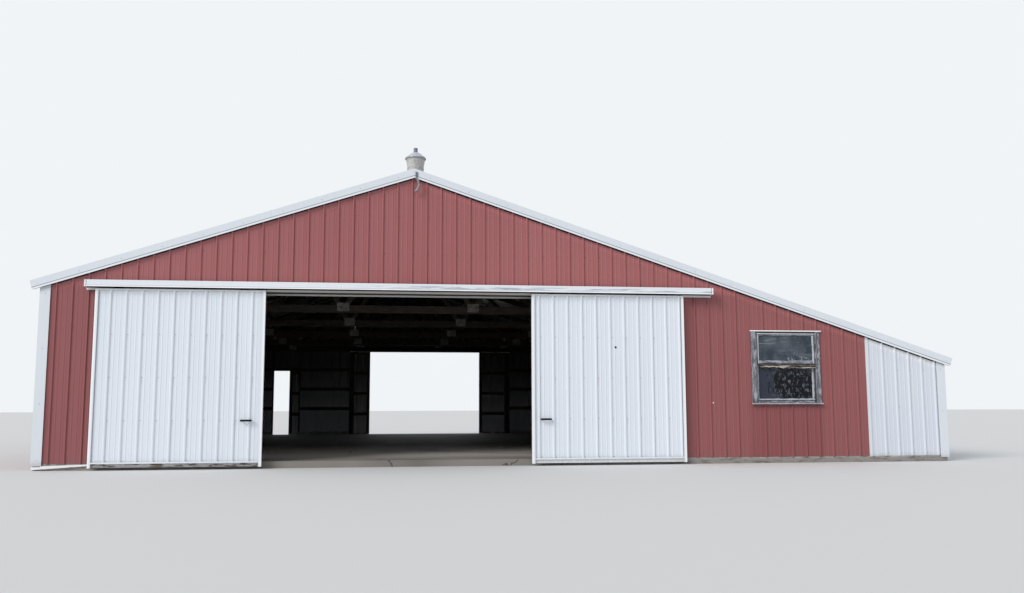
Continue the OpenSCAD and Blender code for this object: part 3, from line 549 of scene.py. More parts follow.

# %% Ribbed walls, red and white
# The grime colour is also the dark red of the painted shade at the ribs' feet.
red = dict(Tone=0.40, Unevenness=0.42, Streaking=0.50, Rusting=0.25, Soiling=0.35, Soil_Reach=0.16,
           Grime=(0.115, 0.034, 0.036))
# The red laid on under the rake trim is painted light.
red_lit_under_rake = (0.56, 0.195, 0.205)
red_walls, at = painted_steel("red_sheet", (0.252, 0.074, 0.077), (0.335, 0.118, 0.122), **red)
x, y, z = axes(at)
under_window = mul(ramp_up(off(x, WINDOW_X), 0.68, 0.56), ramp_up(z, 0.99, 0.88))
overlay(mul(under_window, less(y, 0.0)), (0.232, 0.063, 0.066), 0.6)
overlay(ramp_up(z, 2.68, 2.78), (0.44, 0.152, 0.158), 0.42)
painted_light_under_rake(at, red_lit_under_rake, 0.40)
dress(red_walls, "front_siding_left", "front_siding_right", "rear_siding_left", "rear_siding_right",
      "left_siding")
red_gable, at = painted_steel("red_sheet_gable", (0.300, 0.092, 0.095), (0.394, 0.142, 0.147),
                              **red)
to_right = ramp_up(axes(at)[0], 0.2, 1.8)
overlay(to_right, (0.50, 0.175, 0.185), 0.12)
# Painted light on the right-looking flanks, which are in shade, over the right of the gable.
overlay(mul(flank(at, 1), to_right), (0.50, 0.185, 0.19), 0.65)
painted_light_under_rake(at, red_lit_under_rake, 0.40)
dress(red_gable, "front_siding_gable", "rear_siding_gable")
white = dict(Tone=0.5, Unevenness=0.45, Streaking=0.28, Rusting=0.35, Soiling=0.35, Soil_Reach=0.13,
             Grime=(0.36, 0.38, 0.42))
white_walls, at = painted_steel("white_sheet", (0.62, 0.67, 0.76), (0.72, 0.76, 0.82), **white)
# Painted light and shade on the flanks of the white ribs.
painted_flank_shading(at)
# Painted light under the rake trim, as on the red sheets.
painted_light_under_rake(at, (0.98, 0.98, 1.0), 0.5)
dress(white_walls, "lean_siding")
print("ribbed walls dressed")

# %% Doors: bright folded edges round a ribbed field
DOOR_FOOT = 0.095
for leaf, shift, _ in LEAVES:
    door, at = painted_steel("door_sheet_" + leaf, (0.70, 0.755, 0.835), (0.79, 0.84, 0.90), "leaf",
                             shift, **white)
    left, right = edges(leaf + "_door_sheet", "x")
    head = edges(leaf + "_door_sheet", "z")[1]
    x, y, z = axes(at)
    from_middle = off(x, (left + right) / 2)
    fold = (right - left) / 2 - 0.045
    level_edge = greater(off(z, (DOOR_FOOT + head) / 2), (head - DOOR_FOOT) / 2 - 0.024)
    proud = greater(absolute(y), LEAF_FLAT + RIB_H + 0.0015)
    # Painted light and shade on the flanks of the door's ribs.
    painted_flank_shading(at)
    overlay(mul(proud, most(greater(from_middle, fold), level_edge)), (0.80, 0.84, 0.89), 0.75)
    overlay(ramp_up(from_middle, fold + 0.016, fold + 0.024), (0.96, 0.98, 1.0), 0.8)
    # Painted shade along the fold of each edge.
    overlay(ramp_up(off(from_middle, fold - 0.004), 0.008, 0.002), (0.40, 0.43, 0.48), 0.22)
    # Painted light on the top of the sheet, where the hood's shadow falls.
    overlay(ramp_up(z, head - 0.075, head - 0.005), (0.98, 0.99, 1.0), 0.65)
    # A painted shadow line at the top edge, under the hood.
    overlay(ramp_up(z, head - 0.003, head), (0.008, 0.012, 0.022), 0.95)
    dress(door, leaf + "_door_sheet")
print("doors dressed")

# %% [markdown]
# ### Trims and their folds
#
# A trim is one strip of flat steel folded on a brake. Each fold and lip gets a thin dark line of
# painted shade and a bright line of painted highlight, which is what shows the shape from the
# ground. The rake's fold runs at a fixed depth below the roof, so it is found with the roof's
# layout, while the hood's runs level.

# %% Trim materials
trim_levels = dict(Tone=0.5, Unevenness=0.5, Streaking=0.30, Rusting=0.0, Soiling=0.3,
                   Soil_Reach=0.12, Grime=(0.36, 0.38, 0.42))
trim_paint = (0.66, 0.71, 0.775), (0.76, 0.80, 0.85)
dress(painted_steel("white_trim", *trim_paint, "plain", **trim_levels)[0], "corner_trims",
      "eave_trims")

rake, at = painted_steel("rake_trim", *trim_paint, "plain", **trim_levels)
rise = place(roof_layout, Vector=at)["Rise"]
rake_foot = RIB_H - 0.140
# Painted highlight on the lip below the fold.
overlay(ramp_up(rise, -0.092, -0.097), (0.90, 0.93, 0.97), 0.6)
# Painted shade along the fold.
overlay(ramp_up(off(rise, rake_foot + 0.034), 0.011, 0.003), (0.20, 0.23, 0.27), 0.80)
# A painted shadow line along the rake's lower edge, over the red sheets only.
on_red = less(axes(at)[0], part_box("lean_siding")[0].x)
overlay(mul(on_red, ramp_up(rise, rake_foot + 0.003, rake_foot)), (0.10, 0.10, 0.11), 0.8)
dress(rake, "rake_trims")

hood, at = painted_steel("track_hood", (0.73, 0.78, 0.84), (0.83, 0.86, 0.91), "plain",
                         **trim_levels)
x, y, z = axes(at)
hood_left, hood_right = edges("front_track_cover", "x")
hood_foot, hood_top = edges("front_track_cover", "z")
hood_fold = hood_foot + 0.018
# Painted shade along the hood's fold.
overlay(ramp_up(off(z, hood_fold), 0.009, 0.002), (0.34, 0.37, 0.41), 0.6)
smears = ramp_up(noise(at, (1.6, 1.0, 30.0), 6.0, 0.66), 0.46, 0.56)
late = mul(ramp_up(x, -1.5, 1.0), between(z, hood_fold + 0.009, hood_fold + 0.052, 0.008))
overlay(mul(smears, late), (0.30, 0.34, 0.40), 0.85)
# Painted highlights on the top edge and on the lip below the fold.
lip_highlights = most(ramp_up(z, hood_top - 0.017, hood_top - 0.012),
                   ramp_up(z, hood_fold - 0.002, hood_fold - 0.006))
overlay(lip_highlights, (0.99, 0.99, 1.0), 0.9)
from_end = sub((hood_right - hood_left) / 2, off(x, (hood_left + hood_right) / 2))
in_front = less(y, 0.0)
# At each end of the front hood, painted shade in the end fold and a painted highlight on the end.
overlay(mul(between(from_end, 0.021, 0.034), in_front), (0.22, 0.24, 0.27), 0.7)
overlay(mul(ramp_up(from_end, 0.020, 0.017), in_front), (0.95, 0.96, 0.98), 0.8)
dress(hood, "front_track_cover", "rear_track_cover")

roofing = painted_steel("roof_sheet", (0.46, 0.49, 0.52), (0.60, 0.62, 0.64), "roof", Tone=0.5,
                        Unevenness=0.35, Streaking=0.5, Rusting=0.6, Soiling=0.0,
                        Grime=(0.16, 0.165, 0.17))[0]
dress(roofing, "roof_left", "roof_right", "ridge_cap")
print("trims and roof dressed")

# %% [markdown]
# ## Timber
#
# A sawn board shows its grain as long bands with finer fibres inside them, and each board
# differs from the next. The bands are a Wave texture bent by noise, in a space where the
# board's length is squeezed. As the boards of this barn run in four directions, the material
# turns its coordinates first, so that the grain always follows the board. Old framing is dusty
# grey-brown, with darker saw marks across it and a few water stains.

# %% Grain of sawn timber
grain, (vector, light, dark, grey, greying), give = pattern_group(
    "sawn_grain", "Color Roughness Height", Vector=None, Light=(0.4, 0.3, 0.2),
    Dark=(0.2, 0.14, 0.09), Grey=(0.3, 0.29, 0.28), Greying=0.4)
bend = mul(noise(vector, (0.5, 3.0, 3.0), 2.0), 5.0)
bent = put("VectorMath", {"operation": "ADD"}, i0=stretched(vector, 0.9, 16.0, 16.0),
           i1=put("CombineXYZ", X=0.0, Y=bend, Z=0.0).outputs[0]).outputs[0]
bands = put("TexWave", {"wave_type": "BANDS", "bands_direction": "Y"}, Vector=bent, Scale=1.1,
            Distortion=3.5, Detail=3.0, Detail_Scale=1.4).outputs[1]
fibre = noise(vector, (6.0, 190.0, 190.0), 3.0, 0.6)
saw = put("TexWave", {"wave_type": "BANDS", "bands_direction": "X"}, Vector=vector, Scale=55.0,
          Distortion=1.2, Detail=2.0).outputs[1]
mixed = mul_add(bands, 0.55, mul(fibre, 0.55))
weather = ramp_up(noise(vector, 1.7, 4.0, 0.6), 0.62, 0.30)
colour = coats(light, (ramp_up(mixed, 0.25, 0.85), dark),
               (mul(greying, mul_add(weather, 0.7, 0.3)), grey),
               (mul(saw, 0.10), (0.06, 0.05, 0.04)))
hand_back(give, Color=colour, Roughness=mul_add(fibre, 0.2, 0.68),
          Height=mul_add(mixed, 0.0009, mul(saw, 0.0002)))
print("sawn grain:", len(grain.nodes), "nodes")

# %% Timber in four directions
def turned(at, rotation):
    """Object coordinates turned so that X runs along the board."""
    return put("Mapping", Vector=at, Rotation=rotation).outputs[0]

oak, shade = (0.072, 0.052, 0.033), (0.033, 0.023, 0.015)
quarter = math.radians(90)
for name, rotation, greying, names in (
        ("across", (0, 0, 0), 0.45, ["bottom_chords"]),
        ("along", (0, 0, -quarter), 0.4, ["side_girts", "purlins"]),
        ("upright", (0, quarter, 0), 0.55, ["wall_posts", "inner_posts", "truss_webs"]),
        ("sloping", (0, -SLOPE, 0), 0.4, ["lean_rafters", "top_chords", "rake_boards"]),
        ("end_walls", (0, 0, 0), 0.45, ["end_girts"])):
    material, at = new_material("timber_" + name)
    out = place(grain, Vector=turned(at, rotation), Light=oak, Dark=shade,
                Grey=(0.052, 0.048, 0.044), Greying=greying)
    feed(material, *out[:3])
    dress(material, *names)

# The last of them, on the end walls, also has the boards behind the doors. The track board is
# painted near-black, which is painted shade under the hood, with a pale band of paint along its
# foot that is paler past the doors. The header's face is pale below the doorway's height and
# near-black above it, which is also painted shade.
x, y, z = axes(at)
depth = absolute(y)
on_track_board = greater(depth, END_FLAT + 0.010)
overlay(on_track_board, (0.006, 0.006, 0.006), 0.95)
past_doors = ramp_up(absolute(x), 4.2, 4.25)
overlay(mul(on_track_board, between(z, DOORWAY_H, DOORWAY_H + 0.032)),
        paint(past_doors, (0.62, 0.62, 0.58), (0.80, 0.81, 0.82)))
on_header = less(depth, END_FLAT - 0.17)
header_low, header_high = DOORWAY_H - 0.002, DOORWAY_H + 0.002
overlay(mul(on_header, ramp_up(z, header_high, header_low)), (0.66, 0.655, 0.63), 0.9)
overlay(mul(on_header, ramp_up(z, header_low, header_high)), (0.006, 0.006, 0.006), 0.9)
print("timber done")

# %% [markdown]
# ### Paint that has let go of the wood
#
# The boards at the foot of the walls, the lowest rail of each door and the window's casing were
# once painted white. Such paint lifts in flakes with sharp edges, mostly along the grain, and
# goes chalky. The mask compares a stretched noise with a level, and its edge also lifts the
# bump, so that the flakes have a thickness.

# %% Peeling paint group
peeling, (vector, wood, wood_height, fresh, kept_share), give = pattern_group(
    "peeling_paint", "Color Roughness Height", Vector=None, Wood=(0.2, 0.2, 0.2), Wood_Height=0.0,
    Paint=(0.7, 0.7, 0.7), Kept=0.6)
flakes = noise(vector, (5.0, 26.0, 26.0), 8.0, 0.68)
cracks = noise(vector, (14.0, 160.0, 160.0), 4.0, 0.7)
lost = add(flakes, mul_add(cracks, 0.30, -0.15))
kept = ramp_up(sub(mul_add(kept_share, 0.5, 0.25), lost), -0.008, 0.012)
chalk = paint(noise(vector, 30.0, 4.0), fresh, paint(0.55, fresh, (0.33, 0.33, 0.33)))
hand_back(give, Color=paint(kept, wood, chalk), Roughness=mul_add(kept, -0.2, 0.85),
          Height=mul_add(kept, 0.0006, wood_height))

grade, at = new_material("grade_timber")
along = turned(at, (0, 0, 0))
bare = place(grain, Vector=along, Light=(0.34, 0.32, 0.30), Dark=(0.16, 0.15, 0.14),
             Grey=(0.30, 0.30, 0.30), Greying=0.8)
out = place(peeling, Vector=along, Wood=bare["Color"], Wood_Height=bare["Height"],
            Paint=(0.66, 0.65, 0.66), Kept=0.62)
dirt = mul(place(splash, Vector=at, Reach=0.10)["Soil"], 0.7)
feed(grade, paint(dirt, out["Color"], (0.15, 0.125, 0.10)), out["Roughness"], out["Height"])
dress(grade, "grade_boards")
print("grade boards done")

# %% Wood of the window: grain up the stiles and along the rails
PANE_HALF = PANE_RIGHT - WINDOW_X
SASH_HALF = edges("window_sashes", "x")[1] - WINDOW_X
sill_foot, cap_top = edges("window_frame", "z")
cap_foot = cap_top - 0.014

def window_wood(name):
    """Grey wood under flakes of old paint. A point between the stiles belongs to a rail, and
    there the grain isn't turned upright. It returns the material, the distance from the
    window's middle and the height."""
    material, at = new_material(name)
    x, y, z = axes(at)
    off_middle = off(x, WINDOW_X)
    level_way = put("Mix", {"data_type": "VECTOR"}, i0=less(off_middle, PANE_HALF + 0.002),
                    i4=turned(at, (0, quarter, 0)), i5=at).outputs[1]
    bare = place(grain, Vector=level_way, Light=(0.17, 0.175, 0.20), Dark=(0.045, 0.047, 0.056),
                 Grey=(0.22, 0.225, 0.25), Greying=0.6)
    out = place(peeling, Vector=level_way, Wood=bare["Color"], Wood_Height=bare["Height"],
                Paint=(0.36, 0.38, 0.46), Kept=0.44)
    feed(material, *out[:3])
    # Painted shade in the gap between the sashes and the casing.
    overlay(between(off_middle, SASH_HALF - 0.006, SASH_HALF + 0.004), (0.02, 0.021, 0.025), 0.85)
    return material, off_middle, z

casing, off_middle, z = window_wood("window_casing")
# Painted shadow under the drip cap, over the sashes' width.
under_cap = mul(between(z, cap_foot - 0.027, cap_foot - 0.001),
                ramp_up(off_middle, SASH_HALF + 0.004, SASH_HALF - 0.002))
overlay(under_cap, (0.02, 0.021, 0.025), 0.9)
overlay(ramp_up(z, cap_foot - 0.004, cap_foot - 0.002), (1.0, 1.0, 1.0))
# Painted highlight in a band along the sill's front.
overlay(between(z, sill_foot + 0.014, sill_foot + 0.027), (0.66, 0.66, 0.70), 0.5)
# Painted shadow at the sill's foot.
overlay(ramp_up(z, sill_foot + 0.011, sill_foot + 0.005), (0.06, 0.05, 0.055), 0.8)
dress(casing, "window_frame")

sash, off_middle, z = window_wood("window_timber")
light_lines = most(between(z, PANE_HEAD + 0.011, PANE_HEAD + 0.028),
                   most(between(z, PANE_FOOT - 0.010, PANE_FOOT + 0.003),
                        between(off_middle, PANE_HALF - 0.003, PANE_HALF + 0.011)))
overlay(light_lines, (0.62, 0.66, 0.73), 0.75)
# Painted shade lines under the meeting rail, along the bottom rail and at the head of the upper
# pane.
painted_shade_lines = most(between(z, MEETING_FOOT - 0.008, MEETING_FOOT + 0.014),
                  most(between(z, PANE_FOOT - 0.026, PANE_FOOT - 0.015),
                       between(z, PANE_HEAD - 0.004, PANE_HEAD + 0.008)))
overlay(painted_shade_lines, (0.018, 0.018, 0.020), 0.85)
dress(sash, "window_sashes")
print("window wood done")

# %% Door frames: sawn timber whose lowest rail was painted, which shows below the sheet
# The front right door's rail keeps more of its paint, and its paint is lighter and its dirt less
# than the others', partly painted light that lifts the shade under the sheet's foot.
for name, kept_share, old_paint, dirt_share, leaves in (
        ("door_timber", 0.55, (0.70, 0.73, 0.77), 0.6, ["front_left", "rear_left", "rear_right"]),
        ("door_timber_painted", 0.95, (0.93, 0.96, 0.98), 0.15, ["front_right"])):
    material, at = new_material(name)
    bare = place(grain, Vector=at, Light=oak, Dark=shade, Grey=(0.125, 0.118, 0.108), Greying=0.5)
    old = place(peeling, Vector=at, Wood=bare["Color"], Wood_Height=bare["Height"],
                Paint=old_paint, Kept=kept_share)
    dirt = place(splash, Vector=at, Reach=0.06)["Soil"]
    colour = coats(bare["Color"], (ramp_up(axes(at)[2], 0.128, 0.126), old["Color"]),
                   (mul(dirt, dirt_share), (0.15, 0.125, 0.10)))
    feed(material, colour, bare["Roughness"], old["Height"])
    dress(material, *(leaf + "_door_frame" for leaf in leaves))
print("door frames done")

# %% [markdown]
# ## Zinc, dark iron, concrete and glass
#
# Hot-dip zinc freezes into flat crystals, each with its own grey, which a Voronoi texture cells
# out well. It dulls to a chalky bloom outdoors. The handles and hangers are dark painted iron
# that has worn bright or brown at the edges. The floor is old, dusty concrete, cracked and
# stained from long use, with a painted pool of light inside the doorway and painted shade deeper
# in.

# %% Zinc and iron
zinc, (vector, grey, crystal, rusting), give = pattern_group(
    "dull_zinc", "Color Roughness Height Bare", Vector=None, Grey=(0.4, 0.4, 0.4), Crystal=90.0,
    Rusting=0.2)
cells = put("TexVoronoi", {"feature": "F1"}, Vector=vector, Scale=crystal).outputs["Color"]
shade_of = put("SeparateColor", Color=cells).outputs[0]
bloom = ramp_up(noise(vector, 11.0, 5.0, 0.65), 0.42, 0.70)
spots = mul(ramp_up(noise(vector, 26.0, 5.0, 0.7), 0.58, 0.66), rusting)
colour = coats(grey, (mul(shade_of, 0.30), (0.78, 0.79, 0.80)),
               (mul(bloom, 0.35), (0.62, 0.62, 0.60)), (spots, (0.17, 0.07, 0.03)))
dull = add(mul_add(shade_of, 0.18, 0.34), most(mul(bloom, 0.25), mul(spots, 0.5)), clamp=True)
hand_back(give, Color=colour, Roughness=dull,
          Height=mul_add(shade_of, 0.00003, mul(spots, 0.0003)),
          Bare=sub(1.0, most(spots, mul(bloom, 0.6))))

def metal(name, grey, crystal, rusting, shine, *names):
    """Zinc or worn iron on CAD nodes: shine is how metallic it still is where nothing covers
    it."""
    material, at = new_material(name)
    out = place(zinc, Vector=at, Grey=grey, Crystal=crystal, Rusting=rusting)
    feed(material, *out[:3], Metallic=mul(out["Bare"], shine))
    dress(material, *names)
    return material

track_zinc = metal("galvanised", (0.20, 0.205, 0.21), 70.0, 0.35, 0.45, "front_track", "rear_track")
# The rail is painted near-black, which is painted shade from the hood over it.
overlay(ramp_up(axes_in(track_zinc)[2], 2.684, 2.690), (0.010, 0.010, 0.011), 0.95)
metal("dusty_plates", (0.074, 0.070, 0.058), 70.0, 0.30, 0.15, "gusset_plates")
metal("hook_zinc", (0.050, 0.062, 0.088), 120.0, 0.12, 0.35, "peak_hook")
vent_zinc = metal("vent_zinc", (0.40, 0.395, 0.385), 38.0, 0.06, 0.10, "ventilator_base",
                  "ventilator_body")
cap_zinc = metal("cap_zinc", (0.44, 0.46, 0.49), 38.0, 0.08, 0.25, "ventilator_cap")
cap_z = axes_in(cap_zinc)[2]
rim, top = [corner.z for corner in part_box("ventilator_cap")]
overlay(ramp_up(cap_z, top - 0.085, top - 0.065), (0.10, 0.13, 0.19), 0.85)
# Painted shade under the cap's rim.
overlay(ramp_up(cap_z, rim + 0.024, rim + 0.012), (0.16, 0.18, 0.22), 0.75)

dark_iron, at = new_material("dark_iron")
worn = noise(at, 60.0, 5.0, 0.7)
rusty = ramp_up(noise(at, 23.0, 4.0, 0.65), 0.60, 0.68)
colour = coats((0.004, 0.004, 0.005), (worn, (0.014, 0.013, 0.013)), (rusty, (0.050, 0.024, 0.013)))
feed(dark_iron, colour, mul_add(worn, 0.2, 0.6), mul(worn, 0.0003), Specular_IOR_Level=0.2)
dress(dark_iron, *(leaf + "_door_hangers" for leaf, _, _ in LEAVES))
print("zinc and iron done")

# %% Concrete floor
slab, at = new_material("concrete")
patches = noise(at, 0.8, 6.0, 0.62)
stains = ramp_up(noise(at, 0.45, 3.0), 0.52, 0.70)
sand = noise(at, 240.0, 3.0, 0.7)
crooked = put("VectorMath", {"operation": "ADD"}, i0=at,
              i1=put("TexNoise", Vector=at, Scale=1.1, Detail=5.0).outputs[1]).outputs[0]
crack = ramp_up(put("TexVoronoi", {"feature": "DISTANCE_TO_EDGE"}, Vector=crooked,
                    Scale=0.28).outputs[0], 0.0035, 0.0008)
y = axes(at)[1]
# Painted light: a pale band about 2 to 4 m inside the front wall, where the light from the doorway
# falls. Painted shade: the floor darkens from about 4 m inside.
painted_light_pool = mul(ramp_up(y, -7.3, -5.4), ramp_up(y, -0.5, -3.8))
colour = coats((0.18, 0.165, 0.15), (patches, (0.28, 0.255, 0.235)),
               (ramp_up(y, -3.8, -0.5), (0.034, 0.032, 0.033)), (painted_light_pool, (0.78, 0.73, 0.69)),
               (mul(sand, 0.30), (0.38, 0.36, 0.33)), (mul(stains, 0.55), (0.085, 0.078, 0.07)),
               (mul(crack, 0.8), (0.04, 0.036, 0.03)))
feed(slab, colour, mul_add(patches, 0.30, 0.62), mul_add(sand, 0.0004, mul(crack, -0.003)),
     Specular_IOR_Level=0.2)
dress(slab, "floor_slab")
print("concrete done")

# %% [markdown]
# ### Old window glass
#
# Glass in a shed window is never clean. The upper pane wears an even grey film of dust, and the
# lower one is clearer, with rubbed blotches and pale scratches. Most of the light goes through
# to the dark inside, so the glass reads as a deep blue-grey. The dust is the base colour of the
# part of the shader that doesn't transmit, and it also roughens the surface.

# %% Window glass
glass, at = new_material("window_glass")
x, y, z = axes(at)

def from_spot(spot_x, spot_z, wide, high):
    """Distance from a spot on the pane, 1 on an ellipse of half sizes wide and high."""
    across, up = div(sub(x, spot_x), wide), div(sub(z, spot_z), high)
    return root(add(mul(across, across), mul(up, up)))

film = ramp_up(noise(at, (4.0, 1.0, 3.0), 6.0, 0.70), 0.36, 0.64)
smear = ramp_up(noise(at, (3.0, 1.0, 22.0), 4.0, 0.6), 0.52, 0.70)
ragged = noise(at, (17.0, 1.0, 8.0), 6.0, 0.75)
blotch = ramp_up(sub(mul_add(ragged, 2.4, -0.36), from_spot(6.19, 1.27, 0.47, 0.29)), -0.12, 0.12)
bending = put("VectorMath", {"operation": "MULTIPLY_ADD"},
              i0=put("TexNoise", Vector=at, Scale=16.0, Detail=2.0).outputs[1],
              i1=(0.07, 0.0, 0.07), i2=at).outputs[0]
net = put("TexVoronoi", {"feature": "DISTANCE_TO_EDGE"}, Scale=1.0,
          Vector=stretched(bending, 25.0, 1.0, 7.0)).outputs[0]
strand = mul(ramp_up(net, 0.13, 0.02), ramp_up(noise(at, 15.0, 2.0), 0.48, 0.60))
rubbed = mul_add(ramp_up(from_spot(5.80, 1.95, 0.30, 0.09), 1.2, 0.5), 0.5, 0.2)
webbed = ramp_up(from_spot(6.26, 1.68, 0.20, 0.12), 1.2, 0.6)
# The top of the upper pane is darkened: a painted shadow under the sash's top rail.
dusty = coats((0.036, 0.050, 0.068), (film, (0.108, 0.125, 0.150)),
              (mul(smear, rubbed), (0.30, 0.34, 0.39)), (mul(strand, webbed), (0.34, 0.37, 0.42)),
              (ramp_up(z, 2.030, 2.055), (0.018, 0.024, 0.032)))
clear = coats((0.038, 0.044, 0.066), (blotch, (0.001, 0.002, 0.004)),
              (mul(strand, ramp_up(x, 5.70, 5.95)), (0.125, 0.14, 0.175)))
upper = ramp_up(z, 1.605, 1.635)
feed(glass, paint(upper, clear, dusty), mul_add(mul(film, upper), 0.35, 0.22),
     mul(noise(at, 5.0, 1.0), 0.002), Transmission_Weight=0.12, Specular_IOR_Level=0.18, IOR=1.50)
dress(glass, "window_glass")
print("glass done")

# %% [markdown]
# ## Small pieces: a mesh from arrays
#
# A model of solids leaves out what is small and repeated. Such things are cheap here, as long
# as one shape with a few dozen faces is copied by arithmetic into a single mesh. A turned part,
# like the head of a screw, is a profile of radius and height that is carried round an axis.
# Each copy is then turned to the way it faces and moved to its place, all at once.

# %% Makers for small pieces
def piece_from(name, shape, material, body="barn"):
    """A finished piece from a shape of points and faces, which rides on a body of the barn."""
    piece = add_mesh(name, shape[0], shape[1].tolist(), material)
    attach(piece, body)

def turned_part(profile, sides):
    """Points and triangles of a turned solid about Z. Point (k, j) of ring k lies at
    (r cos a, r sin a, h), where r and h are the profile's and a is j turns of 1/sides. The
    first and last radius are 0, so the ends close in a point."""
    r, h = np.array(profile).T[:, :, None]
    x, y = circle(sides)
    faces = skin(len(r), sides)[:, [0, 1, 2, 0, 2, 3]].reshape(-1, 3)
    in_tip = np.isin(faces // sides, np.flatnonzero(r == 0))
    return points_at(r * x, r * y, h), faces[in_tip.sum(axis=1) < 2]

def copies(shape, *rows):
    """Copies of one shape, in rows of places and the direction that they face. Each is
    turned so that its Z points along that direction, with the basis u, v, w of it, and then
    moved: place + x u + y v + z w."""
    points, faces = shape
    places = np.concatenate([spots for spots, _ in rows])
    w = np.concatenate([np.broadcast_to(outward, np.shape(spots)) for spots, outward in rows])
    w = w / np.linalg.norm(w, axis=1, keepdims=True)
    helper = np.where(np.abs(w[:, 2:3]) < 0.9, [[0.0, 0.0, 1.0]], [[0.0, 1.0, 0.0]])
    u = np.cross(helper, w)
    u /= np.linalg.norm(u, axis=1, keepdims=True)
    basis = np.stack([u, np.cross(w, u), w], axis=1)
    moved = np.einsum("pk,nkj->npj", points, basis) + places[:, None, :]
    shift = np.arange(len(w))[:, None, None] * len(points)
    return moved.reshape(-1, 3), (faces + shift).reshape(-1, 3)

SCREW = turned_part([(0.0, -0.0015), (0.0085, -0.0015), (0.0085, 0.0008), (0.0052, 0.0018),
                     (0.0050, 0.0062), (0.0, 0.0066)], 6)
print("a screw has", len(SCREW[1]), "triangles")

# %% [markdown]
# ## Screws in the sheets
#
# Ribbed steel is held by hex-headed screws with a rubber washer, driven through the flat beside
# a rib into each girt or purlin. Rows of them are what gives a metal barn its scale, although
# one is barely a pixel here. The places follow from two lists: the ribs, and the heights of the
# girts. What falls in a doorway or window, or off the wall, is masked away.

# %% Places of the wall screws
# The front's doorway, window and hood, and the rear's doorway, walk doorway and hood. A gap is
# its lowest x, highest x, lowest z and highest z.
GAPS = {-1: [(-2.40, 2.40, 0, 2.85), (5.44, 6.69, 0.93, 2.15), (-4.86, 4.86, 2.6, 2.84)],
        1: [(-1.45, 3.36, 0, 2.85), (-3.90, -3.04, 0, 2.1), (-4.1, 5.2, 2.6, 2.84)]}
# The strip where red sheets end and white ones begin, which is on both end walls.
JOINT_STRIP = (7.43, 7.52, 0, 3)
CORNER_W = 0.13
half_l = END_FLAT - SHEET_T
rib_x = WALL_SHIFT + np.arange(-40, 60) * RIB_PITCH + SCREW_OFF
rib_y = np.arange(-34, 35) * RIB_PITCH + SCREW_OFF

def crossed(first, second):
    """Every pair of a value of first and a value of second, as two arrays."""
    return [grid.ravel() for grid in np.meshgrid(first, second)]

def end_wall_row(end):
    """Screws on an end wall: a grid of ribs and girts, less its gaps and edges."""
    x, z = crossed(rib_x, GIRT_ROWS)
    keep = (x > -LEFT_FLAT + CORNER_W) & (x < RIGHT_FLAT - CORNER_W)
    keep &= z < RIDGE_Z - np.abs(x) * math.tan(SLOPE) - 0.17
    for x0, x1, z0, z1 in [JOINT_STRIP, *GAPS[end]]:
        keep &= ~((x > x0) & (x < x1) & (z > z0) & (z < z1))
    return points_at(x, end * END_FLAT, z)[keep], (0, end, 0)

def side_wall_row(side, flat):
    """Screws on a long wall, up to the trim at its eave."""
    y, z = crossed(rib_y, GIRT_ROWS)
    keep = (np.abs(y) < half_l - CORNER_W) & (z < RIDGE_Z - flat * math.tan(SLOPE) - 0.22)
    return points_at(side * flat, y, z)[keep], (side, 0, 0)

end_rows = [end_wall_row(-1), end_wall_row(1)]
side_rows = [side_wall_row(-1, LEFT_FLAT), side_wall_row(1, RIGHT_FLAT)]
print("wall screws:", *(len(places) for places, _ in end_rows + side_rows))

# %% [markdown]
# ### The finish of a screw
#
# Painted heads match the sheet, but the paint on a hex chips at its corners. A fine noise
# decides from screw to screw how much rusty steel shows through, so that the rows look handmade
# and not printed.

# %% Screw finishes and the screws themselves
def screw_finish(name, paint_colour, rusted):
    """Chipped paint over rusty steel, where rusted is the share of rust."""
    material, at = new_material(name)
    each = noise(at, 5.0, 1.0)
    chips = noise(at, 600.0, 3.0, 0.7)
    bare = ramp_up(mul_add(each, 0.7, mul(chips, 0.35)), 0.66 - 0.3 * rusted, 0.74 - 0.3 * rusted)
    colour = paint(bare, paint_colour, (0.16, 0.07, 0.035))
    feed(material, colour, mul_add(bare, 0.35, 0.42), mul(chips, 0.0002))
    return material

red_screw = screw_finish("red_screw", (0.25, 0.085, 0.09), 0.35)
white_screw = screw_finish("white_screw", (0.50, 0.54, 0.60), 0.10)
white_from = JOINT_STRIP[0]
red_rows = [(places[places[:, 0] < white_from], out) for places, out in end_rows]
white_rows = [(places[places[:, 0] > white_from], out) for places, out in end_rows]
red_rows.append(side_rows[0])
white_rows.append(side_rows[1])
piece_from("red_wall_screws", copies(SCREW, *red_rows), red_screw)
piece_from("white_wall_screws", copies(SCREW, *white_rows), white_screw)
print("screws in red sheets and in white:",
      *(sum(len(places) for places, _ in rows) for rows in (red_rows, white_rows)))

# %% Roof screws
def roof_row(side, sheet, purlins):
    """Screws along the purlin lines of one slope: s is the distance down it, so that
    x = s cos(a) and z = ridge - s sin(a), on the flat of the sheet beside each rib."""
    edge = max(abs(corner.x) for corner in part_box(sheet)) / math.cos(SLOPE)
    lines = np.append(0.145 + PURLIN_STEP * np.arange(1, purlins + 1), edge - 0.07)
    s, y = crossed(lines, rib_y)
    places = points_at(side * s * math.cos(SLOPE), y, RIDGE_Z - s * math.sin(SLOPE))
    return places[np.abs(y) < half_l - 0.03], (side * math.sin(SLOPE), 0, math.cos(SLOPE))

slopes = [roof_row(-1, "roof_left", 7), roof_row(1, "roof_right", 13)]
zinc_screw = screw_finish("zinc_screw", (0.42, 0.42, 0.42), 0.6)
piece_from("roof_screws", copies(SCREW, *slopes), zinc_screw)
print("roof screws:", sum(len(places) for places, _ in slopes))

